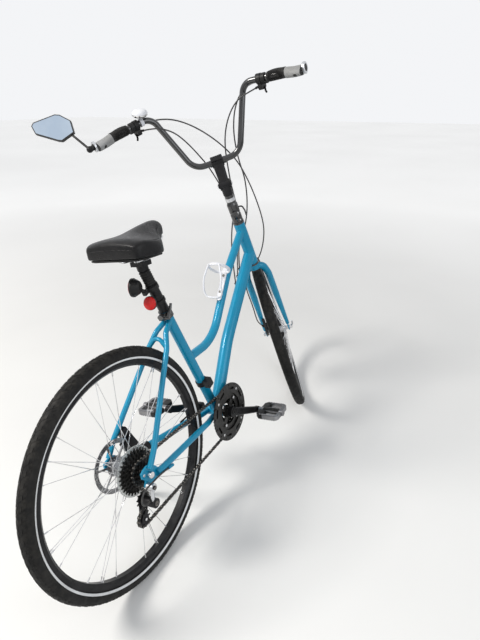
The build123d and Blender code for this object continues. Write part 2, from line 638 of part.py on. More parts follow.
def controls(side):
    place = grip_place(side, GRIP_LENGTH + 6)
    clamp = ring(BAR_RADIUS + 5, BAR_RADIUS + SEAT_GAP, 0, 14)
    shifter = ring(BAR_RADIUS + 6, BAR_RADIUS + SEAT_GAP, 16, 32)
    bar = disc(BAR_RADIUS + SEAT_GAP, -10, 60)
    body = place * (clamp + Pos(-14, -22 * side, 7) * block(17, 32, 13, 6) - bar)
    pod = Pos(-24, -8 * side, 24) * block(23, 36, 15, 8)
    window = Pos(-28, -22 * side, 24) * Box(9, 10, 9)
    body += place * (shifter + pod - window - bar)
    thumb = [(-30, -14 * side, 18), (-40, 4 * side, 10), (-42, 16 * side, 2)]
    body += place * bent_tube(thumb, [14], 3.4)
    bar_end = bar_points(side)[2]
    for points, radius in ((BRAKE_BARREL, 5.5), (GEAR_BARREL, 4.5)):
        inside, mouth = [bar_end + Vector(*point) for point in mirrored(points, side)]
        body += rod(inside, mouth, radius, 4)
    forward = Vector(0.85, side * 0.52, 0)
    root = along_grip(side, GRIP_LENGTH + 10) + forward * 34 - Vector(0, 0, 14)
    knee = along_grip(side, GRIP_LENGTH - 26) + forward * 52 - Vector(0, 0, 20)
    tip = along_grip(side, 40) + forward * 60 - Vector(0, 0, 26)
    blade = FilletPolyline(root, knee, tip, radius=40)
    start = Plane(origin=blade @ 0, x_dir=(0, 0, 1), z_dir=blade % 0)
    lever = sweep(start * RectangleRounded(12, 5, 2), path=blade)
    return body + lever + Pos(*tip) * Sphere(6) + Pos(*root) * Sphere(8)


def bell():
    place = Plane(origin=along_grip(1, BELL_PLACE), x_dir=(1, 0, 0), z_dir=(-0.1, -0.28, 1)).location
    band = grip_place(1, BELL_PLACE) * ring(BAR_RADIUS + 3, BAR_RADIUS + SEAT_GAP, -6, 6)
    post = place * disc(5, BAR_RADIUS + 2, 26)
    return band + post + place * turned(BELL_PROFILE)


def mirror_place():
    return Plane(origin=MIRROR_CENTRE, x_dir=(-0.10, -0.9455, -0.31), z_dir=(-0.81, -0.104, 0.5775)).location


def mirror_pieces():
    outline = make_face(Polyline(*MIRROR_OUTLINE, close=True))
    housing = extrude(outline, amount=-14)
    inner = offset(outline, amount=-3)
    glass = Pos(0, 0, -2.5) * extrude(inner, amount=2.5)
    housing = mirror_place() * (housing - glass)
    joint = (mirror_place() * Pos(60, -16, -8)).position
    elbow = along_grip(1, -26)
    stub = grip_place(1, 0) * disc(9, -26, -10.3)
    arm = stub + Pos(*elbow) * Sphere(11) + rod(elbow, joint, 4)
    NODES["mirror"] = housing + arm
    NODES["mirror_glass"] = mirror_place() * glass


def steering_pieces():
    left, right = 1, -1
    pieces = {
        "fork": fork(),
        "stem_riser": stem_riser(),
        "stem": stem(),
        "handlebar": handlebar(),
        "grip_left": grip(left),
        "grip_right": grip(right),
        "controls_left": controls(left),
        "controls_right": controls(right),
        "bell": bell(),
    }
    for name, piece in pieces.items():
        NODES[name] = STEERING * piece
        STEERED.add(name)


# Seat post, saddle and what hangs on the post, drawn along the seat axis from the bottom bracket


def seat_collar():
    top = SEAT_TUBE_LENGTH
    body = ring(SEAT_TUBE_RADIUS + 4.5, SEAT_TUBE_RADIUS + SEAT_GAP, top - COLLAR_HEIGHT, top - SEAT_GAP)
    body += Pos(-SEAT_TUBE_RADIUS - 7, 0, top - COLLAR_HEIGHT / 2) * Box(12, 22, 16)
    body -= disc(SEAT_TUBE_RADIUS + SEAT_GAP, 0, top + 1)
    lever = rod((-SEAT_TUBE_RADIUS - 8, -30, top - 12), (-SEAT_TUBE_RADIUS - 8, 14, top - 12), 4)
    blade = rod((-SEAT_TUBE_RADIUS - 8, -28, top - 12), (8, -31, top + 22), 5, 4)
    return SEAT_AXIS * (body + lever + blade)


def seatpost():
    post = disc(POST_RADIUS, SEAT_TUBE_LENGTH - 90, SEAT_TUBE_LENGTH + 30)
    sleeve = disc(POST_RADIUS + 3, SEAT_TUBE_LENGTH, BOOT_START)
    shaft = disc(POST_RADIUS - 2, BOOT_START, POST_HEAD)
    return post + sleeve + shaft


def seatpost_head():
    place = Pos(*RAIL_CLAMP)
    yoke = place * Pos(0, 0, -12) * block(40, 52, 14, 5)
    cap = place * Pos(0, 0, 7) * block(34, 54, 7, 5)
    bolt = place * disc(5, -6, 5)
    lower = rod(SEAT_AXIS.position + SEAT_UP * (POST_HEAD - 14), RAIL_CLAMP - Vector(0, 0, 14), 17)
    return yoke + cap + bolt + lower


def seatpost_boot():
    # Bellows: folds between two radii, one after the other up the post
    step = (BOOT_END - BOOT_START - SEAT_GAP) / BOOT_FOLDS
    folds = []
    for fold in range(BOOT_FOLDS + 1):
        folds.append((POST_RADIUS + (4 if fold % 2 else 1.2), BOOT_START + SEAT_GAP + fold * step))
    inside = POST_RADIUS - 2 + SEAT_GAP
    return SEAT_AXIS * turned(folds + [(inside, folds[-1][1]), (inside, folds[0][1])])


def saddle_section(station):
    forward, half, shoulder, top, corner = station
    sides = Polyline((half, shoulder), (half, SADDLE_FLOOR), (-half, SADDLE_FLOOR), (-half, shoulder))
    crown = ThreePointArc((-half, shoulder), (0, top), (half, shoulder))
    face = make_face(sides.edges() + crown.edges())
    shoulders = [vertex for vertex in face.vertices() if vertex.Y > SADDLE_FLOOR + 1]
    face = fillet(shoulders, corner)
    place = Plane(origin=RAIL_CLAMP + Vector(forward, 0, 0), x_dir=(0, 1, 0), z_dir=(1, 0, 0))
    return place * face


def saddle_band(upper, lower):
    # The space between two lines below the cover, across the whole saddle
    outline = upper + lower[::-1]
    corners = [(RAIL_CLAMP.X + forward, RAIL_CLAMP.Z + height) for forward, height in outline]
    return side_plate(corners, -SADDLE_HALF_SPAN, SADDLE_HALF_SPAN)


def saddle_rail(side):
    y = side * RAIL_SPACING / 2
    points = [(-60, y * 1.8, 14), (-44, y, 0), (52, y, 0), (100, y * 0.7, 44)]
    return bent_tube([RAIL_CLAMP + Vector(*point) for point in points], [12, 30], RAIL_RADIUS)


def saddle_pieces():
    below = [(forward, height - 60) for forward, height in SADDLE_KEEL]
    pad = loft([saddle_section(station) for station in SADDLE_SECTIONS]) - saddle_band(SADDLE_KEEL, below)
    NODES["saddle_pad"] = pad
    edge = []
    for forward, half, *_ in SADDLE_SECTIONS:
        edge.append((max(min(forward, 103), -105), half - SHELL_INSET))
    plan = make_face(Polyline(*edge, *[(x, -y) for x, y in edge[::-1]], close=True))
    upper = [(forward, height - SEAT_GAP) for forward, height in SADDLE_KEEL]
    lower = [(forward, height - SHELL_THICKNESS) for forward, height in SADDLE_KEEL]
    shell = (Pos(*RAIL_CLAMP) * extrude(plan, amount=80)) & saddle_band(upper, lower)
    shell -= Pos(*RAIL_CLAMP) * Box(64, 76, 26)
    rails = [saddle_rail(side) for side in (1, -1)]
    head = seatpost_head()
    for rail in rails:
        shell = shell + rail
        head = head - rail
    NODES["saddle_shell"] = shell
    boot_space = SEAT_AXIS * disc(POST_RADIUS + 7.5, BOOT_START + 1, BOOT_END)
    shaft = SEAT_AXIS * disc(POST_RADIUS - 2, BOOT_START, POST_HEAD)
    NODES["seatpost"] = SEAT_AXIS * seatpost() + head - boot_space + shaft


def post_light(band_height, half_band, stalk, centre, facing, profile):
    # A round light on a stalk from a band around the seat post
    outside, inside = POST_RADIUS + 6, POST_RADIUS + 3 + SEAT_GAP
    band = ring(outside, inside, band_height - half_band, band_height + half_band)
    reach, aside, thick = stalk
    root = Pos(-POST_RADIUS - 4 - reach / 2, aside, band_height) * Box(reach, thick, thick)
    root -= disc(inside, band_height - half_band - 5, band_height + half_band + 5)
    end = (SEAT_AXIS * Pos(-POST_RADIUS - 4 - reach / 2, aside, band_height)).position
    middle = seat_point(*centre)
    light = Plane(origin=middle, z_dir=seat_direction(*facing)).location * turned(profile)
    return SEAT_AXIS * (band + root) + rod(end, middle, thick / 2) + light


def rear_lights():
    NODES["rear_lamp"] = post_light(LAMP_BAND, 7, (20, 6, 12), LAMP_CENTRE, LAMP_FACING, LAMP_PROFILE)
    NODES["rear_reflector"] = post_light(
        REFLECTOR_BAND, 5, (16, 0, 9), REFLECTOR_CENTRE, REFLECTOR_FACING, REFLECTOR_PROFILE
    )


# Bottle cage

def cage_place():
    along = (Vector(*TOP_TUBE_BENDS[0]) - Vector(*TOP_TUBE_BENDS[1])).normalized()
    out = Vector(-along.Z, 0, along.X)
    centre = Vector(*TOP_TUBE_BENDS[0]) - along * 62 + out * (TOP_TUBE_RADIUS + SEAT_GAP)
    return Plane(origin=centre, x_dir=out, z_dir=along).location


def bottle_cage():
    strip = Pos(2, 0, 0) * block(4, 20, 130, 1.5)
    hoop = Pos(CAGE_HOOP_OUT, 0, CAGE_HOOP_HEIGHT) * ring(BOTTLE_RADIUS + 4, BOTTLE_RADIUS, -4.5, 4.5)
    cage = strip + hoop
    for side in (1, -1):
        cage += bent_tube(mirrored(CAGE_WIRE, side), [CAGE_BEND, CAGE_BEND], CAGE_WIRE_RADIUS)
    across = mirrored(CAGE_WIRE[1:2], 1) + mirrored(CAGE_WIRE[1:2], -1)
    cage += rod(*across, CAGE_WIRE_RADIUS)
    return cage_place() * cage


# Chain and derailleurs, in the plane of the chain


def pitch_radius(teeth):
    return CHAIN_PITCH / (2 * sin(pi / teeth))


def chain_circles():
    # Centre x, centre z, radius, sense: -1 turns clockwise seen from the right
    return [
        (BB_CENTRE.X, BB_CENTRE.Z, pitch_radius(RING_TEETH[1]), -1),
        (*TENSION_PULLEY, pitch_radius(PULLEY_TEETH), -1),
        (*GUIDE_PULLEY, pitch_radius(PULLEY_TEETH), 1),
        (0.0, TYRE_RADIUS, pitch_radius(SPROCKET_TEETH[CHAIN_SPROCKET]), -1),
    ]


def tangent_normal(first, second):
    dx, dz = second[0] - first[0], second[1] - first[1]
    distance = hypot(dx, dz)
    dx, dz = dx / distance, dz / distance
    share = (first[2] * first[3] - second[2] * second[3]) / distance
    across = sqrt(1 - share * share)
    return share * dx + across * dz, share * dz - across * dx


def clear_length(radius):
    # How far along a straight run a roller must be to stand clear of the teeth
    return sqrt((radius + 7.4) ** 2 - radius**2)


def chain_points():
    # Pin centres all the way round, each with whether it lies on a free stretch
    circles = chain_circles()
    normals = [tangent_normal(circles[i], circles[(i + 1) % 4]) for i in range(4)]
    stretches = []
    for i in range(4):
        x, z, radius, sense = circles[i]
        arrive, leave = normals[i - 1], normals[i]
        start = atan2(arrive[1] * sense, arrive[0] * sense)
        end = atan2(leave[1] * sense, leave[0] * sense)
        turn = (end - start) * sense % (2 * pi)
        stretches.append(("arc", x, z, radius, start, sense, turn * radius))
        nx, nz, nr, ns = circles[(i + 1) % 4]
        first = (x + leave[0] * radius * sense, z + leave[1] * radius * sense)
        last = (nx + leave[0] * nr * ns, nz + leave[1] * nr * ns)
        stretches.append(("line", first, last, hypot(last[0] - first[0], last[1] - first[1])))
    total = sum(stretch[-1] for stretch in stretches)
    links = 2 * round(total / CHAIN_PITCH / 2)
    step = total / links
    points = []
    for link in range(links):
        travel = link * step
        for at, stretch in enumerate(stretches):
            if travel < stretch[-1]:
                break
            travel -= stretch[-1]
        if stretch[0] == "line":
            (x0, z0), (x1, z1), length = stretch[1:]
            share = travel / length
            behind, ahead = circles[at // 2][2], circles[(at // 2 + 1) % 4][2]
            free = travel > clear_length(behind) and length - travel > clear_length(ahead)
            points.append((x0 + (x1 - x0) * share, z0 + (z1 - z0) * share, free))
        else:
            _, x, z, radius, start, sense, _ = stretch
            angle = start + sense * travel / radius
            points.append((x + radius * cos(angle), z + radius * sin(angle), False))
    return points


def chain():
    points = chain_points()
    count = len(points)
    half = CHAIN_HEIGHT / 2
    outer, inner = [], []
    for index in range(count):
        x, z, _ = points[index]
        before, after = points[index - 1], points[(index + 1) % count]
        dx, dz = after[0] - before[0], after[1] - before[1]
        length = hypot(dx, dz)
        outer.append((x - dz / length * half, z + dx / length * half))
        inner.append((x + dz / length * half, z - dx / length * half))
    plates = []
    for low in (-CHAIN_LINE - CHAIN_GAP / 2 - CHAIN_PLATE, -CHAIN_LINE + CHAIN_GAP / 2):
        high = low + CHAIN_PLATE
        plates.append(side_plate(outer, low, high) - side_plate(inner, low - 1, high + 1))
    body = plates[0] + plates[1]
    rollers = []
    for x, z, free in points:
        if free:
            place = Plane(origin=(x, -CHAIN_LINE - CHAIN_GAP / 2 - 0.5, z), z_dir=(0, 1, 0))
            rollers.append(extrude(place * RegularPolygon(3.9, 6), amount=CHAIN_GAP + 1))
    return body + rollers


def derailleur_cage(low, high):
    # One side plate of the cage: two round ends, a waist and a window between the pulleys
    gx, gz = GUIDE_PULLEY
    tx, tz = TENSION_PULLEY
    plate = side_plate([(gx - 12, gz), (gx + 12, gz), (tx + 10, tz), (tx - 10, tz)], low, high)
    plate += rod((gx, low, gz), (gx, high, gz), 15) + rod((tx, low, tz), (tx, high, tz), 14)
    upper, lower = Vector(gx, low - 1, gz - 22), Vector(tx, low - 1, tz + 21)
    width = (high - low) + 2
    slot = rod(upper, upper + Vector(0, width, 0), 5) + rod(lower, lower + Vector(0, width, 0), 5)
    corners = [(end.X + across, end.Z) for end, across in ((upper, -5), (upper, 5), (lower, 5), (lower, -5))]
    slot += side_plate(corners, low - 1, high + 1)
    return plate - slot


def rear_derailleur():
    made = []
    for centre in (GUIDE_PULLEY, TENSION_PULLEY):
        place = Plane(origin=(centre[0], -CHAIN_LINE, centre[1]), z_dir=(0, 1, 0)).location
        made.append(place * (toothed_disc(PULLEY_TEETH, TOOTH_THICKNESS) - Cylinder(3, 10)))
    outer_low, inner_low = -CHAIN_LINE - 6.6, -CHAIN_LINE + 4.6
    body = derailleur_cage(outer_low, outer_low + 2) + derailleur_cage(inner_low, inner_low + 2)
    for x, z in (GUIDE_PULLEY, TENSION_PULLEY):
        body += rod((x, -CHAIN_LINE - 6, z), (x, -CHAIN_LINE + 6, z), 3 - SEAT_GAP)
        body += rod((x, outer_low - 2, z), (x, outer_low, z), 5)
    outside = REAR_HUB_WIDTH / 2 + DROPOUT_THICKNESS + SEAT_GAP
    hanger_x, hanger_z = HANGER
    guide_x, guide_z = GUIDE_PULLEY
    body += rod((hanger_x, -outside, hanger_z), (hanger_x, -outside - 22, hanger_z), 11)
    body += rod((hanger_x, -outside - 22, hanger_z), (hanger_x, -outside - 25, hanger_z), 6)
    body += rod((guide_x, -outside - 24, guide_z), (guide_x, outer_low, guide_z), 14)
    for shift in (-LINK_SPREAD, LINK_SPREAD):
        start = Vector(hanger_x + shift * 0.6, -outside - 13 + shift * 0.5, hanger_z - 2)
        finish = Vector(guide_x + shift * 0.6, -outside - 13 + shift * 0.5, guide_z + 2)
        near = Plane(origin=start, x_dir=(0, 1, 0), z_dir=finish - start)
        far = Plane(origin=finish, x_dir=(0, 1, 0), z_dir=finish - start)
        body += loft([near * RectangleRounded(8, 7, 2), far * RectangleRounded(9, 8, 2)])
    body += rod(CABLE_STOP + Vector(12, 0.35, -0.35), CABLE_STOP + Vector(0.25, 0, 0), 4.5)
    return [body, *made]


def front_derailleur():
    outline = [(x, BB_CENTRE.Z + above) for x, above in CAGE_PLATE]
    bridge = [(x, BB_CENTRE.Z + above) for x, above in CAGE_BRIDGE]
    reach = CAGE_PLATE_GAP + CAGE_PLATE_THICKNESS
    body = side_plate(bridge, -CHAIN_LINE - reach, -CHAIN_LINE + reach)
    for near, far in ((-reach, -CAGE_PLATE_GAP), (CAGE_PLATE_GAP, reach)):
        plate = side_plate(outline, -CHAIN_LINE + near, -CHAIN_LINE + far)
        body += plate - CRANK * disc(CAGE_CUT_RADIUS, -CHAIN_LINE + near - 1, -CHAIN_LINE + far + 1)
    bore = SEAT_TUBE_RADIUS + SEAT_GAP
    clamp = ring(SEAT_TUBE_RADIUS + 4, bore, DERAILLEUR_CLAMP - 9, DERAILLEUR_CLAMP + 9)
    housing = Pos(0, -SEAT_TUBE_RADIUS - 10, DERAILLEUR_CLAMP) * Box(26, 22, 30)
    housing -= disc(bore, 0, DERAILLEUR_CLAMP + 40)
    return largest(body + SEAT_AXIS * (clamp + housing))


# Cranks, chainrings and pedals


def crank_end(side):
    angle = radians(CRANK_ANGLE)
    reach = CRANK_LENGTH * -side
    return Vector(BB_CENTRE.X + reach * cos(angle), 0, BB_CENTRE.Z + reach * sin(angle))


def crank_arms():
    body = CRANK * disc(SPINDLE_RADIUS, -66, 66)
    for side in (-1, 1):
        hub_low, hub_high = sorted((side * (RING_FACE + 7.2), side * 76))
        body += CRANK * disc(19, hub_low, hub_high)
        end = crank_end(side)
        start = Vector(BB_CENTRE.X, side * 69, BB_CENTRE.Z)
        finish = Vector(end.X, side * 80, end.Z)
        place = Plane(origin=start, x_dir=(0, 1, 0), z_dir=finish - start)
        near = place * RectangleRounded(ARM_THICKNESS, 32, 5)
        end_place = Plane(origin=finish, x_dir=(0, 1, 0), z_dir=finish - start)
        body += loft([near, end_place * RectangleRounded(ARM_THICKNESS - 1, 24, 5)])
        body += rod((end.X, side * 73, end.Z), (end.X, side * 87, end.Z), 13)
        body += rod((end.X, side * 86, end.Z), (end.X, side * PEDAL_AXLE_END, end.Z), AXLE_RADIUS)
    return body


def pedal(side):
    # Rounded frame with two windows, a barrel on the axle and a toothed rib at front and back
    end = crank_end(side)
    body = block(PEDAL_LENGTH, PEDAL_WIDTH, PEDAL_FRAME_HEIGHT, 14)
    for shift in (-25, 25):
        body -= Pos(shift, 0, 0) * block(24, PEDAL_WIDTH - 22, PEDAL_FRAME_HEIGHT + 2, 5)
    for shift in (-1, 1):
        rib = Pos(shift * (PEDAL_LENGTH / 2 - 4), 0, 0) * Box(PEDAL_RIB, PEDAL_WIDTH - 28, PEDAL_HEIGHT)
        for count in range(PEDAL_NOTCHES):
            along = (count - (PEDAL_NOTCHES - 1) / 2) * 10
            for height in (-PEDAL_HEIGHT / 2, PEDAL_HEIGHT / 2):
                rib -= Pos(shift * (PEDAL_LENGTH / 2 - 4), along, height) * Rot(45, 0, 0) * Box(9, 4, 4)
        body += rib
    body += rod((0, -52 * side, 0), (0, 48 * side, 0), 12)
    body = Pos(end.X, side * PEDAL_CENTRE, end.Z) * body
    bore_end = (end.X, side * (PEDAL_AXLE_END + 0.5), end.Z)
    return body - rod((end.X, side * 80, end.Z), bore_end, AXLE_RADIUS + PIN_GAP)


def chainrings():
    body = disc(22, -RING_FACE - 6.8, -CHAIN_LINE + RING_SPACING - 1)
    heights = (-CHAIN_LINE + RING_SPACING, -CHAIN_LINE, -CHAIN_LINE - RING_SPACING)
    for teeth, height, inner in zip(RING_TEETH, heights, (26, 46, 46)):
        body += Pos(0, 0, height) * (toothed_disc(teeth, TOOTH_THICKNESS) - Cylinder(inner, 10))
    for arm in range(4):
        angle = arm * 90 + 45
        body += Rot(0, 0, angle) * (Pos(37, 0, -CHAIN_LINE - 3.5) * Box(42, 18, 5))
        body += Rot(0, 0, angle) * (Pos(52, 0, 0) * disc(6, -RING_FACE - 5, -CHAIN_LINE + 1))
        body += Rot(0, 0, angle) * (Pos(32, 0, 0) * disc(5, -CHAIN_LINE - 3, -CHAIN_LINE + RING_SPACING + 1))
        body += Rot(0, 0, angle) * (Pos(86, 0, 0) * disc(4, -RING_FACE - 5, -RING_FACE + 0.5))
    guard = ring(GUARD_RADIUS, 66, 0, GUARD_THICKNESS)
    for hole in range(GUARD_SLOTS):
        around = 360 * (hole + 0.5) / GUARD_SLOTS
        slot = Pos(84, 0, 0) * Rot(0, 0, 90) * extrude(SlotCenterToCenter(24, 9), amount=10, both=True)
        guard -= Rot(0, 0, around) * slot
    for hole in range(2 * GUARD_SLOTS):
        around = 360 * (hole + 0.5) / (2 * GUARD_SLOTS)
        guard -= Rot(0, 0, around) * Pos(97, 0, 0) * Cylinder(3.2, 20)
    body += Pos(0, 0, -RING_FACE - 6.6) * guard
    return CRANK * (body - Cylinder(SPINDLE_RADIUS + SEAT_GAP, 200))


# Brakes

def caliper_body(height, foot_length, foot_depth):
    body = Pos(ROTOR_RADIUS - 4, 0, 0) * extrude(Pos(0, 0, height - 5) * Rectangle(38, 36), amount=19)
    foot = extrude(Pos(0, 0, height + 3) * Rectangle(30, foot_length), amount=foot_depth)
    body += Pos(ROTOR_RADIUS + 10, 0, 0) * foot
    reach = ROTOR_RADIUS + 2
    slot = Pos(reach / 2, 0, height) * Box(reach, 60, ROTOR_THICKNESS + 3)
    return body - slot


def rear_caliper():
    height = REAR_HUB_WIDTH / 2 - 15
    return REAR_WHEEL * (Rot(0, 0, -24) * caliper_body(height, 90, 15))


def front_caliper():
    height = FRONT_HUB_WIDTH / 2 - 15
    body = FRONT_WHEEL * (Rot(0, 0, -143) * caliper_body(height, 74, 11))
    return body + STEERING * rod(*HOSE_UNION, 5, 4)


# Cables and hoses

def bend_radii(points):
    # Each corner's arc is as large as its shorter run allows
    radii = []
    for before, corner, after in zip(points, points[1:], points[2:]):
        first, second = corner - before, after - corner
        turn = radians(first.get_angle(second))
        radii.append(0.45 * min(first.length, second.length) / tan(turn / 2))
    return radii


def cord(name, points):
    radii = bend_radii(points)
    path = FilletPolyline(*points, radius=radii)
    tube = sweep(Plane(origin=path @ 0, z_dir=path % 0) * Circle(CABLE_RADIUS), path=path)
    expected = pi * CABLE_RADIUS**2 * path.length
    print("cord", name, "length", round(path.length), "volume share", round(tube.volume / expected, 4))
    print("radii", [round(radius) for radius in radii])
    return tube


def cables():
    routes = {
        "hose_front": HOSE_FRONT,
        "hose_rear": HOSE_REAR,
        "gear_cable_left": GEAR_CABLE_LEFT,
        "gear_cable_right": GEAR_CABLE_RIGHT,
    }
    for name, route in routes.items():
        points = [turn_about_head((STEERING * Pos(*point)).position) for point in route]
        if name in CABLE_TAILS:
            points += [(STEERING * Pos(*point)).position for point in CABLE_TAILS[name]]
            port = points[-1]
            inward = (points[-1] - points[-2]).normalized()
            corner = port + inward * 5
            elbow = rod(port, corner, PORT_RADIUS) + Pos(*corner) * Sphere(PORT_RADIUS)
            elbow += rod(corner, Vector(corner.X - 6, 18, corner.Z - 6), PORT_RADIUS)
            NODES["down_tube"] = NODES["down_tube"] + elbow
        NODES[name] = cord(name, points)
    loop = [Vector(*point) for point in GEAR_LOOP]
    NODES["gear_loop"] = cord("gear_loop", loop)
    stop = rod(loop[0] * 2 - loop[1], loop[0], LOOP_STOP_RADIUS)
    NODES["chainstay_right"] = NODES["chainstay_right"] + stop


# Parking: lean, pitch and drop, so that both tyres and the stand's foot touch the floor

def turn_about_head(point, amount=STEER_ANGLE):
    arm = Vector(*point) - HEAD_TOP
    return HEAD_TOP + arm.rotate(Axis((0, 0, 0), HEAD_UP), amount)


def tyre_low(centre, axis, tilt):
    world_centre = (tilt * Pos(*centre)).position
    world_axis = (tilt * Pos(*axis)).position
    ring_radius = TYRE_RADIUS - TYRE_WIDTH / 2
    return world_centre.Z - ring_radius * sqrt(1 - world_axis.Z**2) - TYRE_WIDTH / 2


def parked_tilt():
    front_centre = turn_about_head(FRONT_AXLE)
    front_axis = turn_about_head(HEAD_TOP + Vector(0, 1, 0)) - HEAD_TOP
    pitch = 0.0
    for _ in range(5):
        tilt = Rot(X=-LEAN_ANGLE) * Rot(Y=pitch)
        rear = tyre_low(REAR_AXLE, Vector(0, 1, 0), tilt)
        front = tyre_low(front_centre, front_axis, tilt)
        pitch += degrees((front - rear) / WHEELBASE)
    return Rot(X=-LEAN_ANGLE) * Rot(Y=pitch), rear


TILT, FLOOR = parked_tilt()


def stand_axis():
    return STAND_DOWN.cross(STAND_FOLDED).normalized()


def stand_length():
    pivot = (TILT * Pos(*STAND_PIVOT)).position.Z
    drop = (TILT * Pos(*STAND_DOWN)).position.Z
    return (FLOOR + STAND_FOOT_RADIUS - pivot) / drop


def stand_pieces():
    axis = stand_axis()
    place = Plane(origin=STAND_PIVOT, z_dir=axis).location
    foot = STAND_PIVOT + STAND_DOWN * stand_length()
    eye = place * disc(14, -9, 9)
    outward = (STAND_DOWN - axis * STAND_DOWN.dot(axis)).normalized()
    shank = rod(STAND_PIVOT + outward * 13, foot, STAND_LEG_RADIUS)
    leg = eye + shank + Pos(*foot) * Sphere(STAND_FOOT_RADIUS)
    leg = leg - place * disc(AXLE_RADIUS + PIN_GAP, -30, 30)
    NODES["stand_leg"] = largest(leg)
    stay_foot, stay_head = [Vector(*point) for point in mirrored(CHAINSTAY_POINTS, -1)[1:3]]
    along = (stay_head - stay_foot).normalized()
    middle = stay_foot + along * 66
    clamp = rod(middle - along * 20, middle + along * 20, CHAINSTAY_RADIUS + 5)
    clamp -= rod(middle - along * 30, middle + along * 30, CHAINSTAY_RADIUS + SEAT_GAP)
    pin = place * disc(AXLE_RADIUS, -14, 11)
    ears = place * (disc(13, -16, -9 - PIN_GAP) + disc(8, 9 + PIN_GAP, 11))
    web = rod(middle - Vector(0, 0, CHAINSTAY_RADIUS + 2), STAND_PIVOT - axis * 13, 8)
    web -= rod(middle - along * 30, middle + along * 30, CHAINSTAY_RADIUS + SEAT_GAP)
    bracket = clamp + web + ears + pin
    keep_out = place * disc(18, -9 - PIN_GAP, 9 + PIN_GAP)
    bracket = bracket - (keep_out - place * disc(AXLE_RADIUS, -20, 20))
    NODES["stand_bracket"] = largest(bracket)


# Build everything

frame_tubes()
rear_stays()
rear_wheel()
front_wheel()
steering_pieces()
mirror_pieces()
for name in ("mirror", "mirror_glass"):
    NODES[name] = STEERING * NODES[name]
    STEERED.add(name)
NODES["headset"] = STEERING * headset()
NODES["seat_collar"] = seat_collar()
NODES["seatpost_boot"] = seatpost_boot()
saddle_pieces()
rear_lights()
NODES["bottle_cage"] = bottle_cage()
NODES["chain"] = chain()
NODES["rear_derailleur"] = Compound(children=rear_derailleur())
NODES["front_derailleur"] = front_derailleur()
NODES["crank_arms"] = crank_arms()
NODES["chainrings"] = chainrings()
NODES["pedal_left"] = pedal(1)
NODES["pedal_right"] = pedal(-1)
NODES["rear_caliper"] = largest(rear_caliper() - NODES["seatstay_left"] - NODES["chainstay_left"])
NODES["front_caliper"] = largest(front_caliper() - NODES["fork"])
STEERED.add("front_caliper")
stand_pieces()
cables()

head_axis = Axis(HEAD_TOP, HEAD_UP)
parked = {}
for name, shape in NODES.items():
    if name in STEERED:
        shape = shape.rotate(head_axis, STEER_ANGLE)
    parked[name] = TILT * shape

box = Compound(children=[Compound(shape.solids()) for shape in parked.values()]).bounding_box()
DROP = Pos(-(box.min.X + box.max.X) / 2, -(box.min.Y + box.max.Y) / 2, -FLOOR)
print("box", box.min, box.max, "floor", FLOOR)


def park_point(point):
    place = (DROP * TILT * Pos(*point)).position
    return [round(value / 1000, 6) for value in (place.X, place.Y, place.Z)]


def park_direction(direction):
    leaned = (TILT * Pos(*direction)).position
    return [round(value, 6) for value in (leaned.X, leaned.Y, leaned.Z)]


def park_box(middle, half_box):
    # Lowest and highest corner of a box along the parked axes
    place = (DROP * TILT * Pos(*middle)).position
    centre = (place.X, place.Y, place.Z)
    low = [round((value - half) / 1000, 4) for value, half in zip(centre, half_box)]
    high = [round((value + half) / 1000, 4) for value, half in zip(centre, half_box)]
    return [low, high]


side_axis = Vector(0, 1, 0)
front_side = turn_about_head(HEAD_TOP + side_axis) - HEAD_TOP
print("joint steering", park_point(HEAD_TOP), park_direction(HEAD_UP))
print("joint front_wheel_turn", park_point(turn_about_head(FRONT_AXLE)), park_direction(front_side))
print("joint rear_wheel_turn", park_point(REAR_AXLE), park_direction(side_axis))
print("joint crank_turn", park_point(BB_CENTRE), park_direction(side_axis))
print("joint pedal_left_turn", park_point(crank_end(1)), park_direction(side_axis))
print("joint pedal_right_turn", park_point(crank_end(-1)), park_direction(side_axis))
print("joint stand_swing", park_point(STAND_PIVOT), park_direction(stand_axis()))
print("stand length", stand_length())
for name, side in (("eyelet_left", 1), ("eyelet_right", -1)):
    eye = Vector(EYELET_PLACE[0], side * (REAR_HUB_WIDTH + DROPOUT_THICKNESS) / 2, EYELET_PLACE[1])
    print("place", name, park_point(eye), park_direction(side_axis * side))
for count, middle in enumerate(BOTTLE_MIDDLES):
    bottle_middle = (cage_place() * Pos(*middle)).position
    print(f"opening bottle_space_{count + 1}", park_box(bottle_middle, BOTTLE_HALF_BOX))
bar_space = turn_about_head((STEERING * Pos(*BAR_SPACE_MIDDLE)).position)
print("opening bar_space", park_box(bar_space, BAR_SPACE_HALF_BOX))

for name, shape in parked.items():
    placed = DROP * shape
    export_step(Compound(placed.solids()), f"parts/{name}.step")
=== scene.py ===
import json
import math

import bmesh
import bpy
from bpy.props import FloatProperty, FloatVectorProperty, PointerProperty
from mathutils import Matrix, Vector
from mathutils.bvhtree import BVHTree


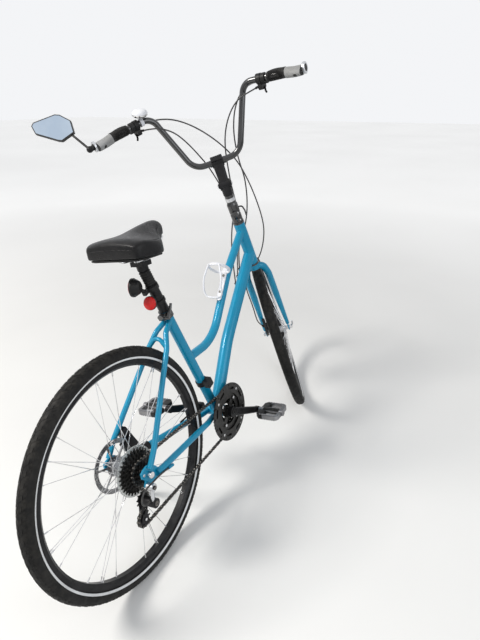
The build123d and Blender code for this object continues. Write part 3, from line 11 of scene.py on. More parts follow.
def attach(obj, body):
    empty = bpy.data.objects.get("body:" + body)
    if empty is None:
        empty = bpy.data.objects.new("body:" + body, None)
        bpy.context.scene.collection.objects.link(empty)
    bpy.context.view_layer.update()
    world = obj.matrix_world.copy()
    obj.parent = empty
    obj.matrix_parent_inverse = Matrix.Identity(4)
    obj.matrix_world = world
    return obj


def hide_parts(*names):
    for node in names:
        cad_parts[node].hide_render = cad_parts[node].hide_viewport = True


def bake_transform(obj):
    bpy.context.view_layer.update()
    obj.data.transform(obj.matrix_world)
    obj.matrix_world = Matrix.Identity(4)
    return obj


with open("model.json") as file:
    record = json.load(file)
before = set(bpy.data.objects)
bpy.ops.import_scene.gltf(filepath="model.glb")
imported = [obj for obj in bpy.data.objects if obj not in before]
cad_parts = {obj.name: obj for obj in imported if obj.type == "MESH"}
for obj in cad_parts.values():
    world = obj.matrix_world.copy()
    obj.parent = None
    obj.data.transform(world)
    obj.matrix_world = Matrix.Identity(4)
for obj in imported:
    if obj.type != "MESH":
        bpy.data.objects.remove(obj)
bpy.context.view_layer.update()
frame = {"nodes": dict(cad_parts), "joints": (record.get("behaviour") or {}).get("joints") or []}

bl_info = {
    "name": "Step-through bicycle",
    "version": (1, 0, 0),
    "blender": (4, 5, 0),
    "location": "View3D > Sidebar > Bicycle",
    "description": "Dresses the parked step-through bicycle with its finishes and fine pieces",
    "category": "Object",
}

MM = 0.001

# Places worked out from the frame's joints

JOINTS = {joint["name"]: joint for joint in frame["joints"]}


def joint_point(name):
    return Vector(JOINTS[name]["pos_m"])


def joint_axis(name):
    return Vector(JOINTS[name]["axis"]).normalized()


def place_of(x_dir, y_dir, z_dir, origin):
    """A matrix from a piece's own millimetres to the row frame's metres."""
    turn = Matrix((x_dir, y_dir, z_dir)).transposed().to_4x4()
    return Matrix.Translation(origin) @ turn @ Matrix.Scale(MM, 4)


# From the part's source: the bottom bracket's place from the rear axle, the height of the axle, and
# the height of the steering's joint over the fork crown
BB_BACK, BB_DROP, CHAINSTAY = 456.105, 67.0, 461.0
AXLE_HEIGHT = 353.0
HEAD_HEIGHT = 191.0
LEFT = joint_axis("rear_wheel_turn")
TO_CRANK = (joint_point("crank_turn") - joint_point("rear_wheel_turn")).normalized()
ABOVE = TO_CRANK.cross(LEFT)
FORWARD = (TO_CRANK * BB_BACK + ABOVE * BB_DROP) / CHAINSTAY
UP = FORWARD.cross(LEFT)
BIKE = place_of(FORWARD, LEFT, UP, joint_point("rear_wheel_turn") - UP * AXLE_HEIGHT * MM)
STEER_UP = joint_axis("steering")
STEER_LEFT = joint_axis("front_wheel_turn")
STEER_FORWARD = STEER_LEFT.cross(STEER_UP)
STEERING = place_of(STEER_FORWARD, STEER_LEFT, STEER_UP, joint_point("steering") - STEER_UP * HEAD_HEIGHT * MM)


# Colours and sizes that a user would change

def colour_property(name, description, default):
    return FloatVectorProperty(
        name=name, description=description, default=default, subtype="COLOR", size=3, min=0, max=1)


def size_property(name, description, default, least, unit):
    return FloatProperty(name=name, description=description, default=default, min=least, unit=unit)


class BicycleColours(bpy.types.PropertyGroup):
    """Colours of the bicycle's finishes."""

    paint: colour_property("Frame paint", "Colour of the painted frame and fork", (0.0, 0.28, 0.46))
    paint_deep: colour_property("Frame paint, deep", "Darker tone between the flakes", (0.0, 0.21, 0.38))
    saddle: colour_property("Saddle cover", "Colour of the saddle's vinyl cover", (0.006, 0.006, 0.007))
    grip: colour_property("Grip end", "Colour of the grips' outer halves", (0.27, 0.275, 0.28))
    lens: colour_property("Reflector", "Colour of the rear reflector's lens", (0.62, 0.008, 0.01))
    dust: colour_property("Dust", "Colour of the dust that has settled", (0.34, 0.31, 0.26))


class BicycleStudio(bpy.types.PropertyGroup):
    """Settings of the studio around the bicycle."""

    floor_size: size_property("Floor", "Width of the studio floor", 60.0, 10.0, "LENGTH")
    key_power: size_property("Key light", "Power of the large soft key light", 175.0, 0.0, "POWER")
    fill_power: size_property("Fill light", "Power of the fill light", 40.0, 0.0, "POWER")
    lens: size_property("Lens", "Focal length of the camera", 27.44, 1.0, "CAMERA")


# Nodes

def add_node(tree, kind, inputs=None, **settings):
    """A node with these settings and, in its inputs, these links or values."""
    node = tree.nodes.new(kind)
    for key, value in settings.items():
        setattr(node, key, value)
    for key, value in (inputs or {}).items():
        if isinstance(value, bpy.types.NodeSocket):
            tree.links.new(value, node.inputs[key])
        else:
            node.inputs[key].default_value = value
    return node


def math_node(tree, operation, first, second, clamp=False):
    node = add_node(tree, "ShaderNodeMath", {0: first, 1: second}, operation=operation, use_clamp=clamp)
    return node.outputs[0]


def vector_node(tree, operation, first, second):
    return add_node(tree, "ShaderNodeVectorMath", {0: first, 1: second}, operation=operation).outputs[0]


def noise_node(tree, vector, scale, detail, roughness=0.5):
    inputs = {"Vector": vector, "Scale": scale, "Detail": detail, "Roughness": roughness}
    return add_node(tree, "ShaderNodeTexNoise", inputs).outputs


def cell_node(tree, vector, scale, feature="F1"):
    return add_node(tree, "ShaderNodeTexVoronoi", {"Vector": vector, "Scale": scale}, feature=feature).outputs


def ranged(tree, value, low, high, to_low=0.0, to_high=1.0, curve="LINEAR"):
    """A value carried from one range to another."""
    inputs = {"Value": value, "From Min": low, "From Max": high, "To Min": to_low, "To Max": to_high}
    return add_node(tree, "ShaderNodeMapRange", inputs, interpolation_type=curve).outputs["Result"]


def mix_colour(tree, factor, first, second):
    return add_node(tree, "ShaderNodeMix", {0: factor, 6: first, 7: second}, data_type="RGBA").outputs[2]


# Effects that several finishes share, each the inside of a node group

def mottle_effect(tree, place, scale):
    """Slow uneven tone, from 0 to 1."""
    return ranged(tree, noise_node(tree, place, scale, 5.0)["Fac"], 0.32, 0.68)


def grain_effect(tree, place, scale):
    """Moulded or cast grain, as a height."""
    cells = cell_node(tree, place, scale, "SMOOTH_F1")
    return math_node(tree, "ADD", cells["Distance"], noise_node(tree, place, scale, 3.0)["Fac"])


def pebble_effect(tree, place, scale):
    """Pebbled grain of vinyl, with creases between its cells."""
    cells = cell_node(tree, place, scale, "DISTANCE_TO_EDGE")
    return ranged(tree, cells["Distance"], 0.0, 0.28, curve="SMOOTHSTEP")


def dust_effect(tree, place, amount):
    """Dust that settles on what faces up, as a mask."""
    normal = add_node(tree, "ShaderNodeNewGeometry").outputs["Normal"]
    upward = add_node(tree, "ShaderNodeSeparateXYZ", {"Vector": normal}).outputs["Z"]
    patches = ranged(tree, noise_node(tree, place, 55.0, 8.0, 0.65)["Fac"], 0.42, 0.7)
    lying = math_node(tree, "MULTIPLY", ranged(tree, upward, -0.4, 1.0, 0.15, 1.0), patches)
    return math_node(tree, "MULTIPLY", lying, amount, clamp=True)


def scuff_effect(tree, place, scale, amount):
    """Fine scratches in all directions, as a mask."""
    bent = vector_node(tree, "ADD", place, noise_node(tree, place, scale, 2.0)["Color"])
    cells = cell_node(tree, bent, scale, "DISTANCE_TO_EDGE")
    lines = ranged(tree, cells["Distance"], 0.0, 0.02, 1.0, 0.0)
    patches = ranged(tree, noise_node(tree, place, 14.0, 2.0)["Fac"], 0.5, 0.65)
    return math_node(tree, "MULTIPLY", math_node(tree, "MULTIPLY", lines, patches), amount, clamp=True)


def brushed_effect(tree, place, scale):
    """Lines left by brushing or turning, as a height."""
    return noise_node(tree, vector_node(tree, "MULTIPLY", place, (0.08, 1.0, 0.6)), scale, 4.0)["Fac"]


def flake_effect(tree, place, scale):
    """Metal flakes in paint, each with its own tone from 0 to 1."""
    tint = cell_node(tree, place, scale)["Color"]
    return add_node(tree, "ShaderNodeSeparateColor", {"Color": tint}).outputs[0]


# Effect: the group's name and output, what fills it, and its numbers as they come
EFFECTS = {
    "mottle": ("Mottle", "Value", mottle_effect, {"Scale": 20.0}),
    "grain": ("Moulded Grain", "Height", grain_effect, {"Scale": 900.0}),
    "pebble": ("Vinyl Pebble", "Height", pebble_effect, {"Scale": 700.0}),
    "dust": ("Settled Dust", "Mask", dust_effect, {"Amount": 0.2}),
    "scuff": ("Fine Scuffs", "Mask", scuff_effect, {"Scale": 40.0, "Amount": 0.3}),
    "brushed": ("Brushed Lines", "Height", brushed_effect, {"Scale": 300.0}),
    "flake": ("Paint Flake", "Value", flake_effect, {"Scale": 2600.0}),
}
GROUPS = {}


def new_effect(title, output, fill, numbers):
    group = bpy.data.node_groups.new(title, "ShaderNodeTree")
    group.interface.new_socket(name="Vector", in_out="INPUT", socket_type="NodeSocketVector")
    for label, number in numbers.items():
        socket = group.interface.new_socket(name=label, in_out="INPUT", socket_type="NodeSocketFloat")
        socket.default_value = number
    group.interface.new_socket(name=output, in_out="OUTPUT", socket_type="NodeSocketFloat")
    given = group.nodes.new("NodeGroupInput").outputs
    value = fill(group, *[given[label] for label in ("Vector", *numbers)])
    group.links.new(value, group.nodes.new("NodeGroupOutput").inputs[output])
    return group


def effect(tree, name, place, **numbers):
    """The output of a shared group, which is made when it is first asked for."""
    if name not in GROUPS:
        GROUPS[name] = new_effect(*EFFECTS[name])
    return add_node(tree, "ShaderNodeGroup", {"Vector": place, **numbers}, node_tree=GROUPS[name]).outputs[0]


# Finishes

SCUFF_SCALE, SCUFF_DULLING, DUST_DULLING = 38.0, 0.25, 0.4
ROUGHNESS_SCALE, PAINT_RELIEF_SCALE, RELIEF_UNIT = 3.1, 160.0, 0.0001
# Finish: the material's name, its two tones (or the names of the colours that a user sets), its range
# of roughness, its relief with its scale and its depth in tenths of a millimetre, its dust, its scuffs,
# the scale of its tone, and the shader's plain sockets
FINISHES = {
    "paint": ("teal flake paint", "paint", "paint_deep", (0.3, 0.4), "flake", 2600, 0.5, 0.03, 0.08, 18,
              {"Metallic": 0.1, "Specular IOR Level": 0.2, "Coat Weight": 0.35, "Coat Roughness": 0.05}),
    "black alloy": ("black anodised alloy", (0.009, 0.009, 0.01), (0.018, 0.018, 0.02), (0.26, 0.38), "brushed",
                    260, 0.25, 0.04, 0.25, 18, {"Metallic": 0.3, "Specular IOR Level": 0.2}),
    "gloss black": ("gloss black enamel", (0.005, 0.005, 0.006), (0.01, 0.01, 0.011), (0.1, 0.18), "grain",
                    220, 0.2, 0.03, 0.2, 18, {"Coat Weight": 0.8, "Coat Roughness": 0.04}),
    "black plastic": ("moulded black plastic", (0.009, 0.009, 0.0095), (0.017, 0.017, 0.0175), (0.36, 0.5),
                      "grain", 1500, 0.6, 0.05, 0.2, 18, {"Specular IOR Level": 0.2}),
    "silver alloy": ("satin silver alloy", (0.52, 0.53, 0.55), (0.68, 0.69, 0.71), (0.24, 0.38), "brushed",
                     420, 0.3, 0.1, 0.2, 18, {"Metallic": 1}),
    "bright steel": ("bright plated steel", (0.62, 0.62, 0.63), (0.78, 0.78, 0.79), (0.12, 0.24), "brushed",
                     700, 0.15, 0.12, 0.1, 18, {"Metallic": 1}),
    "oiled steel": ("oiled chain steel", (0.1, 0.095, 0.09), (0.26, 0.24, 0.22), (0.22, 0.4), "grain",
                    900, 0.4, 0.04, 0.2, 130, {"Metallic": 0.9}),
    "dark steel": ("blackened sprocket steel", (0.014, 0.014, 0.014), (0.04, 0.038, 0.036), (0.28, 0.42),
                   "grain", 800, 0.4, 0.04, 0.3, 90, {"Metallic": 0.6}),
    "rotor steel": ("ground rotor steel", (0.2, 0.2, 0.21), (0.32, 0.32, 0.33), (0.22, 0.34), "brushed",
                    900, 0.3, 0.05, 0.3, 18, {"Metallic": 1}),
    "tyre": ("tyre rubber", (0.008, 0.008, 0.008), (0.016, 0.0155, 0.015), (0.5, 0.7), "grain",
             1100, 0.8, 0.08, 0, 26, {"Specular IOR Level": 0.15}),
    "rubber": ("soft black rubber", (0.01, 0.01, 0.01), (0.018, 0.018, 0.018), (0.42, 0.58), "grain",
               1300, 0.7, 0.06, 0, 18, {"Specular IOR Level": 0.2}),
    "saddle": ("saddle vinyl", "saddle", (0.011, 0.011, 0.012), (0.26, 0.36), "pebble", 900, 0.8, 0.03, 0, 18,
               {"Specular IOR Level": 0.14, "Coat Weight": 0.08, "Coat Roughness": 0.12}),
    "red lens": ("red reflector lens", "lens", (0.5, 0.012, 0.01), (0.06, 0.14), "pebble", 330, 3, 0.01, 0, 400,
                 {"Specular IOR Level": 0.25, "Coat Weight": 0.2, "Coat Roughness": 0.04}),
    "white plastic": ("white plastic", (0.66, 0.68, 0.74), (0.76, 0.77, 0.8), (0.26, 0.4), "grain",
                      900, 0.3, 0.08, 0.2, 18, {}),
    "clear plastic": ("clear guard plastic", (0.62, 0.64, 0.64), (0.74, 0.76, 0.75), (0.2, 0.35), "grain",
                      500, 0.4, 0.2, 0.4, 18, {"Transmission Weight": 0.75, "IOR": 1.45}),
    # The mirror's light blue tint is a painted reflection of the sky over its silver finish
    "mirror": ("mirror glass", (0.5, 0.6, 0.72), (0.56, 0.66, 0.77), (0.01, 0.03), "grain",
               60, 0.02, 0.05, 0, 18, {"Metallic": 1}),
    "cable cover": ("cable cover", (0.012, 0.012, 0.013), (0.026, 0.026, 0.028), (0.3, 0.45), "grain",
                    1400, 0.3, 0.18, 0.2, 18, {}),
    "grip grey": ("grey grip rubber", "grip", (0.24, 0.24, 0.235), (0.5, 0.64), "pebble",
                  1200, 0.9, 0.08, 0, 18, {}),
    "pale stripe": ("reflective stripe", (0.66, 0.67, 0.68), (0.78, 0.79, 0.8), (0.3, 0.42), "grain",
                    2200, 0.4, 0.25, 0.3, 18, {}),
    "grey alloy": ("grey machined alloy", (0.2, 0.2, 0.21), (0.3, 0.3, 0.31), (0.3, 0.45), "brushed",
                   420, 0.3, 0.15, 0.3, 18, {"Metallic": 0.9}),
}
FLOOR_FINISH = ("studio floor", (0.8, 0.8, 0.79), (0.89, 0.89, 0.88), (0.75, 0.85), "grain",
                90, 0.1, 0, 0, 0.4, {})
MATERIALS = {}


def rgba(colour):
    return (*colour[:3], 1.0)


def new_finish(name, colour, other, roughness, height, scale, depth, dust, scuffs, tone, plain):
    """A material with an uneven tone, fine scuffs, settled dust and a relief."""
    settings = bpy.context.scene.bicycle_colours
    colour, other = [getattr(settings, item) if isinstance(item, str) else item for item in (colour, other)]
    material = bpy.data.materials.new(name)
    material.use_nodes = True
    tree = material.node_tree
    shader = tree.nodes["Principled BSDF"]
    place = tree.nodes.new("ShaderNodeTexCoord").outputs["Object"]
    if height == "flake":
        uneven = effect(tree, "flake", place, Scale=scale)
        relief = effect(tree, "grain", place, Scale=PAINT_RELIEF_SCALE)
    else:
        uneven = effect(tree, "mottle", place, Scale=tone)
        relief = effect(tree, height, place, Scale=scale)
    surface = mix_colour(tree, uneven, rgba(colour), rgba(other))
    rough = ranged(tree, effect(tree, "mottle", place, Scale=tone * ROUGHNESS_SCALE), 0.0, 1.0, *roughness)
    layers = [(effect(tree, "dust", place, Amount=dust), settings.dust, DUST_DULLING)]
    if scuffs:
        marks = effect(tree, "scuff", place, Scale=SCUFF_SCALE, Amount=scuffs)
        layers.insert(0, (marks, [0.5 * part + 0.32 for part in colour], SCUFF_DULLING))
    for mask, shade, dulling in layers:
        surface = mix_colour(tree, mask, surface, rgba(shade))
        rough = math_node(tree, "ADD", rough, math_node(tree, "MULTIPLY", mask, dulling), clamp=True)
    inputs = {"Height": relief, "Strength": 1.0, "Distance": depth * RELIEF_UNIT}
    bump = add_node(tree, "ShaderNodeBump", inputs)
    for socket, value in (("Base Color", surface), ("Roughness", rough), ("Normal", bump.outputs["Normal"])):
        tree.links.new(value, shader.inputs[socket])
    for socket, value in plain.items():
        shader.inputs[socket].default_value = value
    return material


def finish(name):
    """A finish of the table; the first call makes them all."""
    if not MATERIALS:
        MATERIALS.update({key: new_finish(*row) for key, row in FINISHES.items()})
    return MATERIALS[name]


NODE_FINISH = {
    "paint": ["head_tube", "top_tube", "down_tube", "seat_tube", "bottom_bracket", "chainstay_left",
              "chainstay_right", "seatstay_left", "seatstay_right", "stay_bridge", "fork"],
    "gloss black": ["handlebar", "headset", "seat_collar", "stem_riser"],
    "black alloy": ["stem", "seatpost", "rear_caliper", "front_caliper", "crank_arms", "front_rim", "rear_rim",
                    "stand_bracket", "stand_leg", "rear_derailleur", "front_derailleur"],
    "black plastic": ["saddle_shell", "rear_lamp", "controls_left", "controls_right", "mirror"],
    "silver alloy": ["front_hub", "rear_hub"],
    "bright steel": ["rear_axle", "front_axle", "front_spokes", "rear_spokes"],
    "oiled steel": ["chain"],
    "dark steel": ["cassette", "chainrings"],
    "rotor steel": ["front_rotor", "rear_rotor"],
    "tyre": ["front_tyre", "rear_tyre"],
    "rubber": ["seatpost_boot", "grip_left", "grip_right"],
    "saddle": ["saddle_pad"],
    "red lens": ["rear_reflector"],
    "white plastic": ["bottle_cage", "bell"],
    "clear plastic": ["spoke_guard"],
    "mirror": ["mirror_glass"],
    "grey alloy": ["pedal_left", "pedal_right"],
    "cable cover": ["hose_front", "hose_rear", "gear_cable_left", "gear_cable_right", "gear_loop"],
}


class BICYCLE_OT_finishes(bpy.types.Operator):
    """Give every node of the bicycle its own finish"""

    bl_idname = "bicycle.finishes"
    bl_label = "Finishes"

    def execute(self, context):
        bare = set(frame["nodes"])
        for name, nodes in NODE_FINISH.items():
            for node in nodes:
                slots = frame["nodes"][node].data.materials
                slots.clear()
                slots.append(finish(name))
                bare.remove(node)
        if bare:
            raise RuntimeError(f"no finish is given for {sorted(bare)}")
        return {"FINISHED"}


# Shapes in millimetres, each a bmesh about its own origin

def on_circle(radius, degrees, height=0.0):
    angle = math.radians(degrees)
    return Vector((radius * math.cos(angle), radius * math.sin(angle), height))


def spun(profile, segments=32):
    """A form turned about Z from (radius, height) points, a ring if they stay off the axis."""
    bm = bmesh.new()
    made = [bm.verts.new((radius, 0.0, height)) for radius, height in profile]
    edges = [bm.edges.new(pair) for pair in zip(made, made[1:])]
    if profile[0][0] > 0:
        edges.append(bm.edges.new((made[-1], made[0])))
    bmesh.ops.spin(
        bm, geom=made + edges, axis=(0, 0, 1), cent=(0, 0, 0),
        angle=2 * math.pi, steps=segments, use_merge=True)
    bmesh.ops.remove_doubles(bm, verts=bm.verts, dist=0.001)
    return bm


def plate(outline, thickness, rounding=0.0):
    """A flat plate about its outline's plane, its long edges rounded."""
    bm = bmesh.new()
    face = bm.faces.new([bm.verts.new((x, y, -thickness / 2)) for x, y in outline])
    raised = bmesh.ops.extrude_face_region(bm, geom=[face])
    tops = [item for item in raised["geom"] if isinstance(item, bmesh.types.BMVert)]
    bmesh.ops.translate(bm, verts=tops, vec=(0, 0, thickness))
    bmesh.ops.recalc_face_normals(bm, faces=bm.faces)
    if rounding:
        rims = [edge for edge in bm.edges if abs(edge.verts[0].co.z - edge.verts[1].co.z) < 0.001]
        bmesh.ops.bevel(bm, geom=rims, offset=rounding, segments=2, profile=0.5, affect="EDGES", material=-1)
    return bm


def rounds(start, end, radius, steps=10):
    """Outline of a bar along X with round ends about its start and end."""
    outline = []
    for x, first in ((end, -90), (start, 90)):
        spots = [on_circle(radius, first + 180 * step / steps) for step in range(steps + 1)]
        outline += [(x + spot.x, spot.y) for spot in spots]
    return outline


def skin(loops, capped=True):
    """A form through loops of points, one after the other."""
    bm = bmesh.new()
    rings = [[bm.verts.new(point) for point in loop] for loop in loops]
    edges = [[bm.edges.new(pair) for pair in zip(ring, ring[1:] + ring[:1])] for ring in rings]
    for lower, upper in zip(edges, edges[1:]):
        bmesh.ops.bridge_loops(bm, edges=lower + upper)
    if capped:
        bm.faces.new(rings[0][::-1])
        bm.faces.new(rings[-1])
    return bm


def ellipse(height, x, y, half_x, half_y, sides=32):
    around = [on_circle(1, 360 * side / sides) for side in range(sides)]
    return [(x + half_x * spot.x, y + half_y * spot.y, height) for spot in around]


def smooth_line(points, thickness=0.0, name="line"):
    """A NURBS curve with these control points, round where it has a thickness."""
    data = bpy.data.curves.new(name, "CURVE")
    data.dimensions = "3D"
    data.resolution_u = 6
    data.bevel_depth = thickness
    data.bevel_resolution = 3
    data.use_fill_caps = True
    spline = data.splines.new("NURBS")
    spline.points.add(len(points) - 1)
    for point, place in zip(spline.points, points):
        point.co = (*place, 1.0)
    spline.order_u = 3
    spline.use_endpoint_u = True
    return bpy.data.objects.new(name, data)


def mesh_of(curve):
    mesh = bpy.data.meshes.new_from_object(curve)
    bpy.data.objects.remove(curve)
    return mesh


def tube(points, thickness):
    """A round bar along a smooth line."""
    bm = bmesh.new()
    mesh = mesh_of(smooth_line(points, thickness))
    bm.from_mesh(mesh)
    bpy.data.meshes.remove(mesh)
    bmesh.ops.remove_doubles(bm, verts=bm.verts, dist=0.001)
    return bm


def socket_head(radius, height):
    """A bolt's head with a hexagonal socket, standing on its origin."""
    inner, floor = radius * 0.5, height * 0.35
    profile = [(0, floor), (inner, floor), (inner, height), (radius * 0.85, height), (radius, height * 0.8),
               (radius, 0), (0, 0)]
    bm = spun(profile, 24)
    for vert in bm.verts:
        if abs(vert.co.xy.length - inner) < 0.01:
            around = math.atan2(vert.co.y, vert.co.x) % (math.pi / 3) - math.pi / 6
            vert.co.xy *= math.cos(math.pi / 6) / math.cos(around)
    return bm


def moved(bm, place):
    bmesh.ops.transform(bm, matrix=place, verts=bm.verts)
    return bm


def joined(parts):
    """One bmesh made of several."""
    whole = bmesh.new()
    for part in parts:
        spare = bpy.data.meshes.new("spare")
        part.to_mesh(spare)
        part.free()
        whole.from_mesh(spare)
        bpy.data.meshes.remove(spare)
    return whole


def linked(name, data):
    """A new object in the scene."""
    item = bpy.data.objects.new(name, data)
    bpy.context.scene.collection.objects.link(item)
    return item


def add_piece(name, bm, finish_name, body, replaced=(), crease=35.0):
    """Links a bmesh in the row frame as a piece that rides on a body."""
    bmesh.ops.recalc_face_normals(bm, faces=bm.faces)
    mesh = bpy.data.meshes.new(name)
    bm.to_mesh(mesh)
    bm.free()
    mesh.shade_smooth()
    mesh.set_sharp_from_angle(angle=math.radians(crease))
    mesh.materials.append(finish(finish_name))
    piece = linked(name, mesh)
    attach(piece, body)
    if replaced:
        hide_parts(*replaced)


# Places of the bicycle's parts, from millimetres to the row frame

def turned_place(parent, x_dir, z_dir, origin):
    """A place with this Z, its X as near to this direction as it can be."""
    z_dir = Vector(z_dir).normalized()
    x_dir = Vector(x_dir)
    x_dir = (x_dir - z_dir * x_dir.dot(z_dir)).normalized()
    turn = Matrix((x_dir, z_dir.cross(x_dir), z_dir)).transposed().to_4x4()
    return parent @ Matrix.Translation(origin) @ turn


def facing(parent, origin, direction):
    """A place whose Z points in a direction."""
    direction = Vector(direction).normalized()
    aside = (0, 0, 1) if abs(direction.z) < 0.9 else (1, 0, 0)
    return turned_place(parent, aside, direction, origin)


HEAD_COS, HEAD_SIN = 0.9403, 0.3404
CRANK_CENTRE = (BB_BACK, 0, 286)
FRONT_AXLE = (49, 0, -404)
REAR_WHEEL = turned_place(BIKE, (1, 0, 0), (0, 1, 0), (0, 0, AXLE_HEIGHT))
FRONT_WHEEL = turned_place(STEERING, (HEAD_COS, 0, -HEAD_SIN), (0, 1, 0), FRONT_AXLE)
FRONT_DROPOUT = turned_place(STEERING, (HEAD_COS, 0, -HEAD_SIN), (HEAD_SIN, 0, HEAD_COS), FRONT_AXLE)
CRANK = turned_place(BIKE, (1, 0, 0), (0, 1, 0), CRANK_CENTRE)
SEAT = turned_place(BIKE, (HEAD_COS, 0, HEAD_SIN), (-HEAD_SIN, 0, HEAD_COS), CRANK_CENTRE)
HEAD = turned_place(BIKE, (HEAD_COS, 0, HEAD_SIN), (-HEAD_SIN, 0, HEAD_COS), (887.4, 0, 716.2))


# Cables: their routes are the ones in the part's source, in millimetres of the steered fork crown,
# of the unsteered head tube, or of the bicycle

CABLE_RADIUS = 2.5
HOSE_FRONT = [
    (94.7, 219.3, 620.8), (104, 196, 622), (106, 150, 618), (100, 100, 602), (92, 48, 566), (84, -2, 512),
    (78, -42, 452), (75, -70, 390), (71, -82, 330), (67, -89, 272), (63, -92, 214), (59, -92, 158),
    (56, -86, 106), (50, -68, 56), (42, -42, 12), (33, -14, -16), (33, 18, -36), (36, 46, -64),
    (32, 62, -96), (26, 67, -140), (24, 66, -190), (25, 67.5, -236), (17, 70, -273), (8.4, 68.5, -299.5),
    (7, 57, -318),
]
HOSE_REAR = [
    (94.7, -219.3, 620.8), (104, -196, 622), (108, -156, 606), (104, -120, 566), (92, -94, 510), (78, -80, 450),
    (62, -75, 388), (56, -76, 336), (56, -68, 285), (55, -57, 240), (52, -38, 186), (46, -14, 142),
    (35, 12, 106), (22, 34, 78),
]
HOSE_REAR_TAIL = [(-28, 37, 50), (-66, 27, 21)]
GEAR_LEFT = [
    (59.5, 205, 610), (54.7, 170.6, 606.2), (49, 138, 594), (50, 104, 566), (52, 76, 516), (58, 56, 465),
    (63, 40, 420), (57, 28, 372), (46, 18, 325), (37, 8, 280), (33, 6, 232),
]
GEAR_LEFT_TAIL = [(16, 32, 196), (-10, 38, 160), (-40, 38, 124), (-72, 34, 84), (-100, 30, 38), (-125, 27, -7)]
GEAR_RIGHT = [
    (59.5, -205, 610), (54.7, -170.6, 606.2), (57, -138, 598), (60, -108, 576), (62, -78, 540),
    (64, -54, 494), (62, -38, 440), (52, -29, 388), (42, -21, 340),
    (36, -17, 292), (35, -13, 244), (35, -6, 196), (34, 3, 150),
]
GEAR_RIGHT_TAIL = [(14, 33, 116), (-12, 38, 84), (-42, 36, 54), (-70, 31, 28), (-96, 27, 7)]
GEAR_LOOP = [
    (72, -81.5, 323), (46, -86, 330), (16, -91, 337), (-14, -94, 338.5), (-46, -94, 338),
    (-62, -93, 323.4), (-63, -90, 302), (-49, -87.5, 287.5), (-32, -87, 287),
]
# Piece, node, stretches of its route, body, real length in metres
PLAIN_CABLES = [
    ("front_brake_hose", "hose_front", [(STEERING, HOSE_FRONT)], "steering", 1.173),
    ("derailleur_cable", "gear_loop", [(BIKE, GEAR_LOOP)], "frame", 0.198),
]
# The same, without a body, for the ones that pass from the steering to the frame between two heights of the
# head's axis
CROSSING_CABLES = [
    ("rear_brake_hose", "hose_rear", [(STEERING, HOSE_REAR), (HEAD, HOSE_REAR_TAIL)], 0.741),
    ("left_gear_cable", "gear_cable_left", [(STEERING, GEAR_LEFT), (HEAD, GEAR_LEFT_TAIL)], 0.754),
    ("right_gear_cable", "gear_cable_right", [(STEERING, GEAR_RIGHT), (HEAD, GEAR_RIGHT_TAIL)], 0.75),
]


def route_points(stretches):
    return [place @ Vector(point) for place, points in stretches for point in points]


class BICYCLE_OT_cables(bpy.types.Operator):
    """Lay the brake hoses and gear cables"""

    bl_idname = "bicycle.cables"
    bl_label = "Cables"

    def execute(self, context):
        cover = finish("cable cover")
        thickness = CABLE_RADIUS * MM
        for name, node, stretches, body, length in PLAIN_CABLES:
            points = route_points(stretches)
            cable = smooth_line(points, thickness, name)
            context.scene.collection.objects.link(cable)
            cable.data.materials.append(cover)
            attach(cable, body)
            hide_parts(node)
        for name, node, stretches, length in CROSSING_CABLES:
            points = route_points(stretches)
            line = mesh_of(smooth_line(points))
            bpy.data.meshes.remove(line)
            mesh = mesh_of(smooth_line(points, thickness))
            mesh.name = name
            mesh.materials.clear()
            mesh.materials.append(cover)
            mesh.shade_smooth()
            cable = linked(name, mesh)
            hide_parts(node)
            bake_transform(cable)
        return {"FINISHED"}


# Tyres: the sizes of the CAD tyre, its tread and its pale stripe

TYRE_MIDDLE, TYRE_HALF, TYRE_SEGMENTS = 331.5, 21.45, 128
TYRE_BEADS = [(318.2, 13.6), (317.4, 12.6), (317.4, -12.6), (318.2, -13.6)]
# Stripe: degrees from the crown and height over the casing
STRIPE = [(110, 0.25), (118.5, 0.3), (127, 0.25), (127, -0.3), (110, -0.3)]
TREAD_COUNT = 84
TREAD_STEP = 360 / TREAD_COUNT
TREAD_HEIGHTS = (-0.4, 0.9)
# Tread blocks: corners as (steps round the tyre, degrees from its crown)
TREAD_BLOCKS = [
    [(0.0, 1.5), (0.42, 1.5), (0.72, 20), (0.72, 27), (0.34, 27), (0.3, 20)],
    [(0.42, 31), (0.8, 31), (1.02, 45), (1.02, 52), (0.7, 52), (0.64, 45)],
    [(0.1, 33), (0.3, 33), (0.46, 44), (0.46, 49), (0.28, 49)],
]


def tyre_point(around, across, height):
    """A point by its degrees round the tyre and across it, and its height over the casing."""
    spot = on_circle(TYRE_HALF + height, across)
    return on_circle(TYRE_MIDDLE + spot.x, around, spot.y)


def tyre_casing():
    section = [tyre_point(0, across, 0) for across in range(-132, 133, 12)]
    return spun([(spot.x, spot.z) for spot in section] + TYRE_BEADS, TYRE_SEGMENTS)


def tyre_stripe(side):
    section = [tyre_point(0, side * across, height) for across, height in STRIPE]
    return spun([(spot.x, spot.z) for spot in section], TYRE_SEGMENTS)


def tread():
    """The blocks of one step on both sides, repeated round the tyre."""
    blocks = []
    for side, shift in ((1, 0.0), (-1, 0.5)):
        for block in TREAD_BLOCKS:
            blocks.append(skin([
                [tyre_point((along + shift) * TREAD_STEP, side * across, height) for along, across in block]
                for height in TREAD_HEIGHTS
            ]))
    bm = joined(blocks)
    bmesh.ops.spin(
        bm, geom=bm.verts[:] + bm.edges[:] + bm.faces[:], axis=(0, 0, 1), cent=(0, 0, 0),
        angle=math.radians(360 - TREAD_STEP), steps=TREAD_COUNT - 1, use_duplicate=True)
    return bm


# Wheels: spokes leave the hub's flanges as in the part's source

